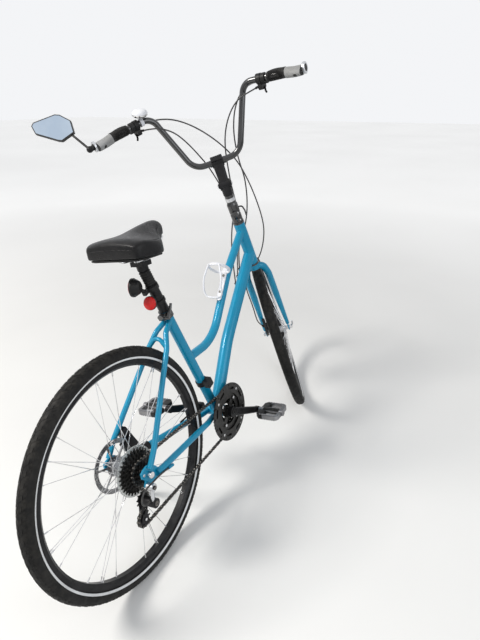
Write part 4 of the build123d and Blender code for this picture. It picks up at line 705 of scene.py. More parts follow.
SPOKES_A_SIDE = 16
SPOKE_CIRCLE, SPOKE_SWEEP = 23.0, 62
SPOKE_OUTSIDE, SPOKE_INSIDE = 4.3, 2.8
RIM_INNER = 298.0
NIPPLE = [(0, -14), (1.7, -14), (1.9, -12), (1.9, -4), (2.6, -2), (2.6, 1.0), (0, 1.0)]
VALVE = [(0, -44), (2.2, -44), (3.2, -42), (3.2, -26), (2.9, -25), (2.9, -4), (5, -3.5), (5, 0.5), (0, 0.5)]
# Dark disc that paints the shade of one hole in the rotor, which is not cut
ROTOR_HOLE_SHADE = [(0, -1.0), (1.7, -1.0), (1.7, 1.0), (0, 1.0)]
ROTOR_HOLES, HOLE_CIRCLE, HOLE_STEP = 36, 70.0, 2.8
ROTOR_BOLTS, BOLT_CIRCLE, BOLT_START = 6, 23.0, 20
# Wheel, its body and place, the heights of the hub's flanges and of the rotor
WHEELS = [
    ("rear", "rear_wheel", REAR_WHEEL, (34.0, -18.0), 52.5),
    ("front", "front_wheel", FRONT_WHEEL, (20.0, -34.0), 35.0),
]


def nipples(place, flanges):
    parts = []
    for side, flange in zip((1, -1), flanges):
        for count in range(SPOKES_A_SIDE):
            lean = 1 if count % 2 else -1
            hub_angle = 360 * (count + (side < 0) / 2) / SPOKES_A_SIDE
            aside = SPOKE_OUTSIDE if lean == side else SPOKE_INSIDE
            start = on_circle(SPOKE_CIRCLE, hub_angle, flange + lean * aside)
            end = on_circle(RIM_INNER, hub_angle + lean * SPOKE_SWEEP, 3.0 * side)
            parts.append(moved(spun(NIPPLE, 8), facing(place, end, end - start)))
    return joined(parts)


def rotor_hole_shades(place, height):
    """Dark discs of painted shade where the rotor's braking ring is pierced."""
    parts = []
    for hole in range(ROTOR_HOLES):
        spot = on_circle(HOLE_CIRCLE + hole % 3 * HOLE_STEP, hole * 360 / ROTOR_HOLES, height)
        parts.append(moved(spun(ROTOR_HOLE_SHADE, 12), facing(place, spot, (0, 0, 1))))
    return joined(parts)


def rotor_bolts(place, height):
    angles = [arm * 360 / ROTOR_BOLTS + BOLT_START for arm in range(ROTOR_BOLTS)]
    spots = [on_circle(BOLT_CIRCLE, angle, height + 0.9) for angle in angles]
    return joined([moved(socket_head(3.4, 2.2), facing(place, spot, (0, 0, 1))) for spot in spots])


class BICYCLE_OT_wheels(bpy.types.Operator):
    """Dress the wheels with tyres, nipples, valves and rotor details"""

    bl_idname = "bicycle.wheels"
    bl_label = "Wheels"

    def execute(self, context):
        for name, body, place, flanges, rotor_height in WHEELS:
            stripes = joined([tyre_stripe(1), tyre_stripe(-1)])
            valve = moved(spun(VALVE, 16), facing(place, (RIM_INNER, 0, 0), (1, 0, 0)))
            add_piece(name + "_tyre_casing", moved(tyre_casing(), place), "tyre", body, [name + "_tyre"])
            add_piece(name + "_tyre_tread", moved(tread(), place), "tyre", body)
            add_piece(name + "_tyre_stripe", moved(stripes, place), "pale stripe", body)
            add_piece(name + "_nipples", nipples(place, flanges), "bright steel", body)
            add_piece(name + "_valve", valve, "black plastic", body)
            # Dark discs as painted shade in the rotor's holes
            add_piece(name + "_rotor_hole_shades", rotor_hole_shades(place, rotor_height), "dark steel", body)
            add_piece(name + "_rotor_bolts", rotor_bolts(place, rotor_height), "oiled steel", body)
        return {"FINISHED"}


# Chain: the same circles as in the part's source

PITCH, CHAIN_LINE = 12.7, 47.5
CHAINRING_TEETH, PULLEY_TEETH, SPROCKET_TEETH = 38, 11, 18
GUIDE_PULLEY = (-20.0, 276.0)
TENSION_PULLEY = (-34.0, 220.0)
PLATE_ROUND, PLATE_WAIST, PLATE_THICKNESS = 4.1, 2.9, 1.0
INNER_PLATE, OUTER_PLATE = 2.3, 3.4
ROLLER = [(0, -2.0), (3.85, -2.0), (3.85, 2.0), (0, 2.0)]
PIN = [(0, -4.4), (1.5, -4.4), (1.9, -4.1), (1.9, 4.1), (1.5, 4.4), (0, 4.4)]


def pitch_radius(teeth):
    return PITCH / (2 * math.sin(math.pi / teeth))


# Chainring, tension pulley, guide pulley and sprocket: X, Z, radius, and the sense of the chain's turn
CHAIN_CIRCLES = [
    (CRANK_CENTRE[0], CRANK_CENTRE[2], pitch_radius(CHAINRING_TEETH), -1),
    (*TENSION_PULLEY, pitch_radius(PULLEY_TEETH), -1),
    (*GUIDE_PULLEY, pitch_radius(PULLEY_TEETH), 1),
    (0.0, AXLE_HEIGHT, pitch_radius(SPROCKET_TEETH), -1),
]


def tangent_normal(first, second):
    away = Vector((second[0] - first[0], second[1] - first[1]))
    along = away.normalized()
    share = (first[2] * first[3] - second[2] * second[3]) / away.length
    return along * share + Vector((along.y, -along.x)) * math.sqrt(1 - share * share)


def chain_pins():
    """Pin centres all the way round, in the chain's plane."""
    stretches = []
    after = CHAIN_CIRCLES[1:] + CHAIN_CIRCLES[:1]
    normals = [tangent_normal(*pair) for pair in zip(CHAIN_CIRCLES, after)]
    for i, (x, z, radius, sense) in enumerate(CHAIN_CIRCLES):
        next_x, next_z, next_radius, next_sense = after[i]
        arrive, leave = normals[i - 1] * sense, normals[i] * sense
        start = math.atan2(arrive.y, arrive.x)
        turn = (math.atan2(leave.y, leave.x) - start) * sense % (2 * math.pi)
        stretches.append((turn * radius, Vector((x, z)), radius, start, sense))
        first = Vector((x, z)) + leave * radius
        last = Vector((next_x, next_z)) + normals[i] * next_radius * next_sense
        stretches.append(((last - first).length, first, last))
    total = sum(stretch[0] for stretch in stretches)
    links = 2 * round(total / PITCH / 2)
    pins = []
    for link in range(links):
        travel = link * total / links
        for length, *stretch in stretches:
            if travel < length:
                break
            travel -= length
        if len(stretch) == 2:
            pins.append(stretch[0].lerp(stretch[1], travel / length))
        else:
            centre, radius, start, sense = stretch
            angle = start + sense * travel / radius
            pins.append(centre + Vector((math.cos(angle), math.sin(angle))) * radius)
    return pins


class BICYCLE_OT_chain(bpy.types.Operator):
    """Link the chain plate by plate and roller by roller"""

    bl_idname = "bicycle.chain"
    bl_label = "Chain"

    def execute(self, context):
        pins = chain_pins()
        plates, rollers = [], []
        for index, pin in enumerate(pins):
            along = pins[(index + 1) % len(pins)] - pin
            place = turned_place(BIKE, (along.x, 0, along.y), (0, 1, 0), (pin.x, -CHAIN_LINE, pin.y))
            outline = rounds(0.0, along.length, PLATE_ROUND, 5)
            outline.insert(6, (along.length / 2, PLATE_WAIST))
            outline.append((along.length / 2, -PLATE_WAIST))
            aside = OUTER_PLATE if index % 2 else INNER_PLATE
            for side in (aside, -aside):
                plates.append(moved(plate(outline, PLATE_THICKNESS), place @ Matrix.Translation((0, 0, side))))
            rollers += [moved(spun(ROLLER, 10), place), moved(spun(PIN, 8), place)]
        add_piece("chain_plates", joined(plates), "dark steel", "frame", ["chain"])
        add_piece("chain_rollers", joined(rollers), "oiled steel", "frame")
        return {"FINISHED"}


# Saddle

RAIL_CLAMP = (238.9, 0, 907.1)
SADDLE = BIKE @ Matrix.Translation(RAIL_CLAMP)
# Seam along each shoulder: forward of the clamp, aside, up
SEAM = [
    (-108, 80, 62), (-90, 97, 66), (-60, 102, 68), (-9, 98, 60), (23, 70, 66), (53, 42, 74), (86, 27, 80),
    (107, 14, 76),
]
REAR_SEAM = [(-114, 80, 48), (-118, 40, 52), (-119, 0, 53), (-118, -40, 52), (-114, -80, 48)]
SEAM_RADIUS, SEAM_LIFT = 0.0011, 0.0001
RAIL = [(-60, 39.6, 14), (-50, 24, 4), (-38, 22, 0), (40, 22, 0), (56, 21.6, 3), (100, 15.4, 44)]
# Underside of the saddle: forward and up; its half plan: forward and aside; its lip: inward and down
SADDLE_KEEL = [(-125, 24), (3, 17), (51, 40), (125, 56)]
PAN_PLAN = [
    (-104, 74), (-99, 88), (-74, 97), (-40, 97), (-9, 94), (3, 85), (23, 67), (38, 51), (51, 39), (70, 30),
    (86, 23), (103, 11),
]
PAN_LIP = [(0.0, 0.3), (0.0, 4.2), (4.0, 5.4), (11.0, 3.4)]
PAD_GRID, PAD_SHRINK, PAD_CAP = 0.004, 0.0022, 0.006
PAD_PRESSURE, PAD_STIFFNESS, PAD_BENDING, PAD_FRAMES = 4.0, 60.0, 25.0, 20
PAD_UNDERSIDE = 0.6


def smooth_mesh(mesh, times, shrink=0.0):
    """Smooths a mesh, then draws it in along its normals."""
    bm = bmesh.new()
    bm.from_mesh(mesh)
    for _ in range(times):
        bmesh.ops.smooth_vert(bm, verts=bm.verts, factor=0.5, use_axis_x=True, use_axis_y=True, use_axis_z=True)
    bm.normal_update()
    for vert in bm.verts:
        vert.co -= vert.normal * shrink
    bm.to_mesh(mesh)
    bm.free()


def fill_cover(context, piece):
    """Lets the cover out by cloth simulation, its underside held."""
    mesh = piece.data
    rest = [vert.co.copy() for vert in mesh.vertices]
    held = piece.vertex_groups.new(name="held")
    held.add([vert.index for vert in mesh.vertices if vert.normal.dot(-UP) > PAD_UNDERSIDE], 1.0, "REPLACE")
    cloth = piece.modifiers.new("fill", "CLOTH")
    cloth.settings.use_pressure = True
    cloth.settings.uniform_pressure_force = PAD_PRESSURE
    cloth.settings.vertex_group_mass = "held"
    cloth.settings.effector_weights.gravity = 0.0
    cloth.settings.tension_stiffness = PAD_STIFFNESS
    cloth.settings.compression_stiffness = PAD_STIFFNESS
    cloth.settings.bending_stiffness = PAD_BENDING
    for number in range(1, PAD_FRAMES + 1):
        context.scene.frame_set(number)
    filled = piece.evaluated_get(context.evaluated_depsgraph_get()).data
    reached = [vert.co.copy() for vert in filled.vertices]
    piece.modifiers.remove(cloth)
    context.scene.frame_set(1)
    for vert, start, end in zip(mesh.vertices, rest, reached):
        step = end - start
        if step.length > PAD_CAP:
            step *= PAD_CAP / step.length
        vert.co = start + step
    smooth_mesh(mesh, 5)


def saddle_cover(context):
    """The cover, let out a little by cloth simulation from a smaller copy of its solid."""
    source = frame["nodes"]["saddle_pad"]
    piece = source.copy()
    piece.data = mesh = source.data.copy()
    for key in list(piece.keys()):
        del piece[key]
    piece.name = "saddle_cover"
    piece.parent = None
    piece.matrix_world = Matrix.Identity(4)
    context.scene.collection.objects.link(piece)
    context.view_layer.objects.active = piece
    mesh.remesh_voxel_size = PAD_GRID
    for item in context.selected_objects:
        item.select_set(False)
    piece.select_set(True)
    bpy.ops.object.voxel_remesh()
    smooth_mesh(mesh, 3, PAD_SHRINK)
    fill_cover(context, piece)
    smooth = piece.modifiers.new("smooth", "SUBSURF")
    smooth.levels = smooth.render_levels = 1
    mesh.materials.clear()
    mesh.materials.append(finish("saddle"))
    mesh.shade_smooth()
    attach(piece, "frame")
    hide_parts("saddle_pad")
    return piece


def keel_height(forward):
    for (x0, z0), (x1, z1) in zip(SADDLE_KEEL, SADDLE_KEEL[1:]):
        if forward <= x1:
            return z0 + (z1 - z0) * (forward - x0) / (x1 - x0)
    return SADDLE_KEEL[-1][1]


def saddle_pan():
    """The base that closes the cover, with a lip along its edge."""
    plan = PAN_PLAN + [(forward, -half) for forward, half in PAN_PLAN[::-1]]
    bm = skin([
        [(forward, math.copysign(max(abs(half) - inset, 2.0), half), keel_height(forward) - drop)
         for forward, half in plan]
        for inset, drop in PAN_LIP
    ], capped=False)
    verts = bm.verts[:]
    for loop in (verts[:len(plan)], verts[-len(plan):]):
        for index in range(len(PAN_PLAN) - 1):
            bm.faces.new((loop[index], loop[index + 1], loop[-2 - index], loop[-1 - index]))
    return bm


def seam_on(cover_tree, points):
    """A piping that follows the cover near these points."""
    placed = []
    for point in points:
        spot, normal, *_ = cover_tree.find_nearest(SADDLE @ Vector(point))
        placed.append(spot + normal * SEAM_LIFT)
    return tube(placed, SEAM_RADIUS)


class BICYCLE_OT_saddle(bpy.types.Operator):
    """Pad the saddle and sew its seams"""

    bl_idname = "bicycle.saddle"
    bl_label = "Saddle"

    def execute(self, context):
        tree = BVHTree.FromObject(saddle_cover(context), context.evaluated_depsgraph_get())
        rails = []
        for name, side in (("1", 1), ("2", -1)):
            seam = [(x, y * side, z) for x, y, z in SEAM]
            add_piece("saddle_seam_" + name, seam_on(tree, seam), "saddle", "frame")
            rails.append(moved(tube([(x, y * side, z) for x, y, z in RAIL], 3.75), SADDLE))
        add_piece("saddle_seam_rear", seam_on(tree, REAR_SEAM), "saddle", "frame")
        add_piece("saddle_pan", moved(saddle_pan(), SADDLE), "black plastic", "frame", ["saddle_shell"])
        add_piece("saddle_rails", joined(rails), "bright steel", "frame")
        return {"FINISHED"}


# Handlebar: grips, levers and bell, by their distance in from the bar's end, and the stem's spacer

BAR_END = (-21.0, 362.0, 634.0)
GRIP_COS, GRIP_SIN = 0.5244, 0.8516
BAR_CLAMP = (42.0, 0.0, 425.0)
STEM_PIVOT = (0.0, 0.0, 351.0)
GRIP_START, LEVER_CLAMP, BELL_DISTANCE = -4, 136, 183.0
# Palm rest: height along the grip, x, y, half size along x, half size along y
PALM_REST = [
    (2.2, -3, 9, 14.5, 30.5), (9, -3, 9, 15, 31), (34, -3, 7, 15.6, 26.8), (52, -1.6, 3.8, 16.4, 22.6),
    (62, -0.9, 2.1, 16.9, 20.2), (62.5, -0.9, 2.1, 15, 18),
]
GRIP_CLAMP = [(11.5, -6.4), (17.0, -6.4), (18.3, -5.4), (18.3, 0.9), (17.6, 1.6), (11.5, 1.6)]
GRIP_RIB = [(15.0, -1.3), (16.9, -0.8), (17.2, 0), (16.9, 0.8), (15.0, 1.3)]
GRIP_RIBS = [64 + 4.2 * count for count in range(15)]
# Lever: forward of the bar, along it and up, and half the blade's height; its section in these halves
LEVER = [
    ((34, 144, -14), 7.2), ((46, 118, -17.5), 6.6), ((52, 104, -20), 6.4), ((57, 70, -23.5), 6.0),
    ((60, 44, -26), 5.6),
]
LEVER_SECTION = [(-1, -0.7), (-0.7, -1), (0.7, -1), (1, -0.7), (1, 0.7), (0.7, 1), (-0.7, 1), (-1, 0.7)]
LEVER_HALF = 2.9
BELL_PARTS = [
    ("bell_base", "black plastic", [(0, 21.8), (22.4, 21.8), (22.4, 26.4), (0, 26.4)]),
    ("bell_band", "bright steel", [(0, 26.3), (27.4, 26.6), (27.7, 29), (27.4, 31.6), (0, 31.6)]),
    ("bell_dome", "white plastic",
     [(0, 31.5), (27.0, 31.5), (25.9, 36.2), (21.3, 40.9), (13.2, 43.9), (0, 44.8)]),
]
STEM_SPACER = [(17.0, 286.5), (18.1, 286.5), (18.1, 300), (17.0, 300)]


def grip_point(side, distance):
    x, y, z = BAR_END
    return Vector((x + GRIP_COS * distance, side * (y - GRIP_SIN * distance), z))


def grip_place(side, distance):
    return turned_place(STEERING, (0, 0, 1), (GRIP_COS, side * -GRIP_SIN, 0), grip_point(side, distance))


def lever_blade(side):
    """A flat blade that narrows to its rounded tip, over the lever's solid."""
    out = Vector((GRIP_SIN, side * GRIP_COS, 0))
    loops = []
    for (forward, along, up), half in LEVER:
        middle = grip_point(side, along) + out * forward + Vector((0, 0, up))
        loops.append([middle + out * LEVER_HALF * b + Vector((0, 0, half * a)) for a, b in LEVER_SECTION])
    return skin(loops)


class BICYCLE_OT_cockpit(bpy.types.Operator):
    """Dress the handlebar: palm rests, clamps, ribs, lever blades, bell and stem spacer"""

    bl_idname = "bicycle.cockpit"
    bl_label = "Cockpit"

    def execute(self, context):
        for name, side in (("left", 1), ("right", -1)):
            place = grip_place(side, GRIP_START)
            rest = skin([ellipse(height, x, side * y, *halves) for height, x, y, *halves in PALM_REST])
            ribs = joined([spun([(r, height + z) for r, z in GRIP_RIB], 36) for height in GRIP_RIBS])
            blade = moved(lever_blade(side), STEERING)
            add_piece("palm_rest_" + name, moved(rest, place), "grip grey", "steering", crease=50.0)
            add_piece("grip_clamp_" + name, moved(spun(GRIP_CLAMP, 40), place), "silver alloy", "steering")
            add_piece("grip_ribs_" + name, moved(ribs, place), "rubber", "steering", crease=60.0)
            add_piece("lever_blade_" + name, blade, "silver alloy", "steering", crease=50.0)
        place = turned_place(STEERING, (1, 0, 0), (-0.1, -0.28, 1), grip_point(1, BELL_DISTANCE))
        for name, material, profile in BELL_PARTS:
            add_piece(name, moved(spun(profile, 48), place), material, "steering")
        add_piece("stem_spacer", moved(spun(STEM_SPACER, 40), STEERING), "silver alloy", "steering")
        return {"FINISHED"}


# Bottle cage: out from the top tube, left, along the tube

CAGE = turned_place(BIKE, (-0.7621, 0.0, 0.6474), (0.6474, 0.0, 0.7621), (638.2, 0.0, 706.7))
CAGE_WIRE = [
    (79, 22, 44), (72, 36, 4), (60, 38, -34), (38, 36, -60), (33, 18, -65), (33, 0, -66),
    (33, -18, -65), (38, -36, -60), (60, -38, -34), (72, -36, 4), (79, -22, 44),
]
CAGE_FOOT = [(3.5, 8, -50), (12, 10, -62), (33, 16, -65)]
CAGE_RADIUS = 3.4
CAGE_HOOP = [(37.0, -4.6), (40.6, -4.8), (41.5, -3.6), (41.5, 3.6), (40.6, 4.8), (37.0, 4.6)]
CAGE_HOOP_CENTRE = (41.8, 0, 44)
CAGE_STRIP, CAGE_LUG = 55.0, 10.4


class BICYCLE_OT_cage(bpy.types.Operator):
    """Bend the bottle cage from its wires, strip and ring"""

    bl_idname = "bicycle.cage"
    bl_label = "Bottle cage"

    def execute(self, context):
        parts = [tube(CAGE_WIRE, CAGE_RADIUS)]
        for side in (1, -1):
            parts.append(tube([(out, side * left, along) for out, left, along in CAGE_FOOT], CAGE_RADIUS))
        strip = plate(rounds(-CAGE_STRIP, CAGE_STRIP, CAGE_LUG, 8), 4.0, 1.0)
        parts.append(moved(strip, turned_place(Matrix.Identity(4), (0, 0, 1), (1, 0, 0), (2.2, 0, 0))))
        parts.append(moved(spun(CAGE_HOOP, 56), Matrix.Translation(CAGE_HOOP_CENTRE)))
        bolts = [moved(socket_head(4.6, 2.8), facing(CAGE, (4.1, 0, along), (1, 0, 0))) for along in (-32, 32)]
        wires = moved(joined(parts), CAGE)
        add_piece("cage_wires", wires, "white plastic", "frame", ["bottle_cage"], crease=45.0)
        add_piece("cage_bolts", joined(bolts), "oiled steel", "frame")
        return {"FINISHED"}


# Small turned and sunk fasteners

RIGHT_SIDE, OUTWARD = (0, -1, 0), (0, 0, 1)
CALIPER_TURN = -24


def fasteners():
    """Rows of body, place, position, direction, head radius, head height and finish."""
    face = turned_place(STEERING, (0, 1, 0), Vector(BAR_CLAMP) - Vector(STEM_PIVOT), BAR_CLAMP)
    corners_of = [(x, y, 18) for x in (-16, 16) for y in (-14, 14)]
    rows = [("steering", face, spot, OUTWARD, 3.8, 3.0, "bright steel") for spot in corners_of]
    for side in (1, -1):
        rows.append(("steering", STEERING, (0, side * 25, 351), (0, side, 0), 5.5, 3.0, "bright steel"))
    for height in (211.3, 241.3):
        rows.append(("steering", STEERING, (-24, -10, height), RIGHT_SIDE, 4.0, 3.5, "bright steel"))
    rows.append(("steering", STEERING, STEM_PIVOT, OUTWARD, 6.0, 3.0, "oiled steel"))
    for shift in (-10, 10):
        rows.append(("frame", SADDLE, (shift, 0, 10.4), OUTWARD, 4.2, 3.2, "bright steel"))
    for side in (1, -1):
        rows.append(("crankset", CRANK, (0, 0, side * 75.9), (0, 0, side), 9.0, 2.2, "black plastic"))
        rows.append(("frame", BIKE, (-17, side * 73.4, 360), (0, side, 0), 4.2, 1.6, "bright steel"))
    for arm in (45, 135, 225, 315):
        for reach, height, radius in ((52, -59.4, 5.2), (86, -61.0, 4.6)):
            spot = on_circle(reach, arm, height)
            rows.append(("crankset", CRANK, spot, (0, 0, -1), radius, 1.8, "bright steel"))
    rows.append(("frame", BIKE, (-12, -98.7, 322), RIGHT_SIDE, 5.0, 2.0, "oiled steel"))
    rows.append(("frame", BIKE, (-20, -97.7, 276), RIGHT_SIDE, 7.5, 2.0, "oiled steel"))
    for x, z in (GUIDE_PULLEY, TENSION_PULLEY):
        rows.append(("frame", BIKE, (x, -56.0, z), RIGHT_SIDE, 4.0, 1.6, "bright steel"))
    for aside in (38, -38):
        spot = on_circle(90, CALIPER_TURN, 70.4) + on_circle(aside, CALIPER_TURN + 90)
        rows.append(("frame", REAR_WHEEL, spot, OUTWARD, 4.6, 3.4, "bright steel"))
    for side in (1, -1):
        lever, clamp = grip_place(side, LEVER_CLAMP), grip_place(side, GRIP_START)
        rows.append(("steering", lever, (-14, -34 * side, 7), (0, -side, 0), 3.6, 2.4, "bright steel"))
        rows.append(("steering", clamp, (0, -18.2 * side, -2.4), (0, -side, 0), 2.6, 1.6, "bright steel"))
    return rows


class BICYCLE_OT_fasteners(bpy.types.Operator):
    """Set the bolts, nuts and caps"""

    bl_idname = "bicycle.fasteners"
    bl_label = "Fasteners"

    def execute(self, context):
        groups = {}
        for body, place, spot, direction, radius, height, material in fasteners():
            part = moved(socket_head(radius, height), facing(place, spot, direction))
            groups.setdefault((body, material), []).append(part)
        for (body, material), parts in groups.items():
            name = "bolts_" + body + "_" + material.replace(" ", "_")
            add_piece(name, joined(parts), material, body)
        return {"FINISHED"}


# Seat post lights, pedals, hub lever, derailleur links and ports

LAMP = facing(SEAT, (-43.8, 16, 593.3), (-0.265, 0.95, 0.149))
LAMP_LENS = [(0, 10.6), (27.3, 10.6), (24.3, 13.8), (16, 14.9), (0, 15.3)]
LAMP_RIM = [(26.0, 4.6), (27.9, 4.6), (27.9, 11.4), (26.0, 11.4)]
LAMP_RIDGE = [(-0.7, -14.8), (0.7, -14.8), (0.5, -15.8), (-0.5, -15.8)]
LAMP_RIDGES = (4.0, 7.5, 11.0)
REFLECTOR = facing(SEAT, (-43.7, -6, 534.8), (-0.825, -0.2, 0.511))
REFLECTOR_RIM = [(19.6, -3.3), (21.2, -3.3), (21.2, 1.4), (19.6, 1.4)]
REFLECTOR_DOME = [(0, 0), (20.5, 0), (20.5, 3), (19, 4.6), (17, 5.6), (13, 6.8), (9, 7.5), (4.5, 7.9), (0, 8)]
REFLECTOR_BACK = [(0, -4.2), (12, -4.2), (20.4, -3), (20.4, 0.2), (0, 0.2)]
REFLECTOR_BAND = [(16.9, 507), (19.7, 507), (19.7, 517), (16.9, 517)]
REFLECTOR_STALK = [(-16, 0, 512), (-26, 0, 512), (-34, -2, 521), (-42, -5.6, 533.8)]
# Pedals: the sides they are on and the places of their spindles
PEDALS = [("left", 1, 304.1, 362.1), ("right", -1, 608.1, 209.9)]
PEDAL_MIDDLE, PEDAL_ROOT = 143, 112
PEDAL_BARREL = [(5.6, -33), (12.6, -33), (13.2, -31), (13.2, 31), (12.6, 33), (5.6, 33)]
PEDAL_CORE = [(-38, -15), (38, -15), (49, -4), (49, 12), (-49, 12), (-49, -4)]
FRONT_LEVER = [(0, -66, 0), (-14, -72, 9), (-34, -76, 24), (-52, -75, 40)]
DERAILLEUR_LINKS = [[(-17.4, -91.3, 320), (-25.4, -91.3, 278)], [(-6.6, -82.3, 320), (-14.6, -82.3, 278)]]
KNUCKLE = [(0, 0), (11.3, 0), (11.3, 21.6), (10.3, 22.6), (0, 22.6)]
GROMMET = [(2.6, -3), (4.8, -3), (5.4, -1.5), (5.4, 1.5), (2.6, 1.5)]
PORTS = [HOSE_REAR_TAIL, GEAR_LEFT_TAIL, GEAR_RIGHT_TAIL]


class BICYCLE_OT_fittings(bpy.types.Operator):
    """Dress the lamp, reflector, pedals, hub lever and cable ports"""

    bl_idname = "bicycle.fittings"
    bl_label = "Fittings"

    def execute(self, context):
        ridges = joined([spun([(reach + r, z) for r, z in LAMP_RIDGE], 40) for reach in LAMP_RIDGES])
        add_piece("lamp_lens", moved(spun(LAMP_LENS, 48), LAMP), "red lens", "frame")
        add_piece("lamp_rim", moved(spun(LAMP_RIM, 48), LAMP), "black plastic", "frame")
        add_piece("lamp_ridges", moved(ridges, LAMP), "black plastic", "frame")
        holder = [moved(spun(profile, 48), REFLECTOR) for profile in (REFLECTOR_RIM, REFLECTOR_BACK)]
        holder += [moved(spun(REFLECTOR_BAND, 40), SEAT), moved(tube(REFLECTOR_STALK, 4.4), SEAT)]
        add_piece("reflector_holder", joined(holder), "black plastic", "frame")
        dome = moved(spun(REFLECTOR_DOME, 48), REFLECTOR)
        add_piece("reflector_lens", dome, "red lens", "frame", ["rear_reflector"])
        for name, side, x, z in PEDALS:
            barrel = moved(spun(PEDAL_BARREL, 32), facing(BIKE, (x, side * PEDAL_MIDDLE, z), (0, side, 0)))
            add_piece("pedal_barrel_" + name, barrel, "black plastic", "pedal_" + name)
            core = plate([(across, side * along) for across, along in PEDAL_CORE][::side], 17.4, 1.6)
            place = turned_place(BIKE, (1, 0, 0), (0, 0, 1), (x, side * PEDAL_ROOT, z))
            add_piece("pedal_core_" + name, moved(core, place), "black plastic", "pedal_" + name)
        add_piece("hub_lever", moved(tube(FRONT_LEVER, 3.6), FRONT_DROPOUT), "silver alloy", "steering")
        links = [moved(spun(KNUCKLE, 32), facing(BIKE, (-12, -73.6, 322), RIGHT_SIDE))]
        links += [moved(tube(points, 5.2), BIKE) for points in DERAILLEUR_LINKS]
        add_piece("derailleur_links", joined(links), "silver alloy", "frame")
        grommets = []
        for *_, before, port in PORTS:
            place = facing(HEAD, port, Vector(port) - Vector(before))
            grommets.append(moved(spun(GROMMET, 24), place))
        add_piece("port_grommets", joined(grommets), "rubber", "frame")
        return {"FINISHED"}


# The stage: camera, floor, lights and world

CAMERA_PLACE = (-808.1, -966.3, 1155.3)
CAMERA_FORWARD = (0.7989, 0.5061, -0.325)
CAMERA_DOWN = (-0.3586, -0.0331, -0.9329)
SENSOR_WIDTH = 36.0
FLOOR_GLOW, GLOW_START, GLOW_END = 0.4, 1.6, 5.5
SKY_COLOUR, SKY_FILL, SKY_SEEN = (0.97, 0.98, 1.0, 1.0), 0.5, 0.93
LIGHT_TARGET = Vector((0.0, 0.0, 0.6))
KEY_PLACE, KEY_SIZE, KEY_COLOUR = Vector((-2.6, 2.0, 3.6)), 1.5, (1.0, 0.97, 0.92)
FILL_PLACE, FILL_SIZE, FILL_COLOUR = Vector((-1.0, -3.6, 2.4)), 3.0, (0.92, 0.96, 1.0)


def add_light(name, power, place, size, colour):
    data = bpy.data.lights.new(name, "AREA")
    data.shape = "DISK"
    data.size = size
    data.energy = power
    data.color = colour
    light = linked(name, data)
    light.location = place
    light.rotation_euler = (LIGHT_TARGET - place).to_track_quat("-Z", "Y").to_euler()


def add_camera(lens):
    forward = (BIKE.to_3x3() @ Vector(CAMERA_FORWARD)).normalized()
    down = (BIKE.to_3x3() @ Vector(CAMERA_DOWN)).normalized()
    right = down.cross(forward).normalized()
    down = forward.cross(right)
    data = bpy.data.cameras.new("camera")
    data.lens = lens
    data.sensor_width = SENSOR_WIDTH
    camera = linked("camera", data)
    turn = Matrix((right, -down, -forward)).transposed().to_4x4()
    camera.matrix_world = Matrix.Translation(BIKE @ Vector(CAMERA_PLACE)) @ turn
    bpy.context.scene.camera = camera


def brighten_far_floor(tree):
    """Keep the floor pale where the lamps no longer reach it."""
    place = tree.nodes.new("ShaderNodeTexCoord").outputs["Object"]
    distance = add_node(tree, "ShaderNodeVectorMath", {0: place}, operation="LENGTH").outputs["Value"]
    glow = ranged(tree, distance, GLOW_START, GLOW_END, 0.0, FLOOR_GLOW)
    seen = math_node(tree, "MULTIPLY", glow, tree.nodes.new("ShaderNodeLightPath").outputs["Is Camera Ray"])
    shader = tree.nodes["Principled BSDF"]
    shader.inputs["Emission Color"].default_value = (1.0, 1.0, 1.0, 1.0)
    tree.links.new(seen, shader.inputs["Emission Strength"])


def add_floor(width):
    bm = bmesh.new()
    bmesh.ops.create_grid(bm, x_segments=1, y_segments=1, size=width / 2)
    mesh = bpy.data.meshes.new("studio_floor")
    bm.to_mesh(mesh)
    bm.free()
    material = new_finish(*FLOOR_FINISH)
    brighten_far_floor(material.node_tree)
    mesh.materials.append(material)
    floor = linked("studio_floor", mesh)


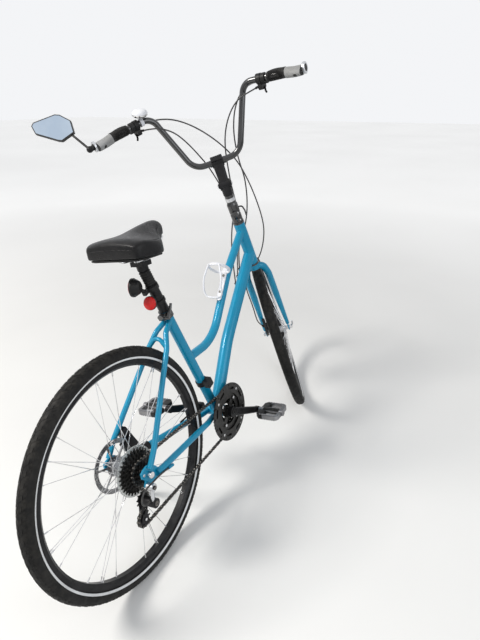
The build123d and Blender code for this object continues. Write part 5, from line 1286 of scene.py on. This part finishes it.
def light_world():
    """A plain bright sky as the camera, glass and glossy finishes see it, and a weaker one as light."""
    world = bpy.data.worlds.new("studio")
    bpy.context.scene.world = world
    world.use_nodes = True
    tree = world.node_tree
    sky = tree.nodes["Background"]
    rays = tree.nodes.new("ShaderNodeLightPath").outputs
    seen = math_node(tree, "MAXIMUM", rays["Is Camera Ray"], rays["Is Transmission Ray"])
    seen = math_node(tree, "MAXIMUM", seen, rays["Is Glossy Ray"])
    sky.inputs["Color"].default_value = SKY_COLOUR
    tree.links.new(ranged(tree, seen, 0.0, 1.0, SKY_FILL, SKY_SEEN), sky.inputs["Strength"])


class BICYCLE_OT_stage(bpy.types.Operator):
    """Set up the camera, floor and soft studio light"""

    bl_idname = "bicycle.stage"
    bl_label = "Stage"

    def execute(self, context):
        studio = context.scene.bicycle_studio
        context.scene.view_settings.view_transform = "Standard"
        add_camera(studio.lens)
        add_floor(studio.floor_size)
        light_world()
        add_light("key", studio.key_power, KEY_PLACE, KEY_SIZE, KEY_COLOUR)
        add_light("fill", studio.fill_power, FILL_PLACE, FILL_SIZE, FILL_COLOUR)
        return {"FINISHED"}


class BICYCLE_PT_panel(bpy.types.Panel):
    """Lists the steps that dress the bicycle"""

    bl_idname = "BICYCLE_PT_panel"
    bl_label = "Bicycle"
    bl_space_type = "VIEW_3D"
    bl_region_type = "UI"
    bl_category = "Bicycle"

    def draw(self, context):
        layout = self.layout
        for group in (context.scene.bicycle_colours, context.scene.bicycle_studio):
            for name in group.__annotations__:
                layout.prop(group, name)
        for step in STEPS:
            layout.operator(step.bl_idname)


STEPS = (
    BICYCLE_OT_stage,
    BICYCLE_OT_cables,
    BICYCLE_OT_finishes,
    BICYCLE_OT_wheels,
    BICYCLE_OT_chain,
    BICYCLE_OT_saddle,
    BICYCLE_OT_cockpit,
    BICYCLE_OT_cage,
    BICYCLE_OT_fasteners,
    BICYCLE_OT_fittings,
)
CLASSES = (BicycleColours, BicycleStudio, *STEPS, BICYCLE_PT_panel)


def register():
    for item in CLASSES:
        bpy.utils.register_class(item)
    bpy.types.Scene.bicycle_colours = PointerProperty(type=BicycleColours)
    bpy.types.Scene.bicycle_studio = PointerProperty(type=BicycleStudio)


def unregister():
    del bpy.types.Scene.bicycle_studio
    del bpy.types.Scene.bicycle_colours
    for item in reversed(CLASSES):
        bpy.utils.unregister_class(item)


def main():
    register()
    for step in STEPS:
        group, name = step.bl_idname.split(".")
        getattr(getattr(bpy.ops, group), name)()


if __name__ == "__main__":
    main()
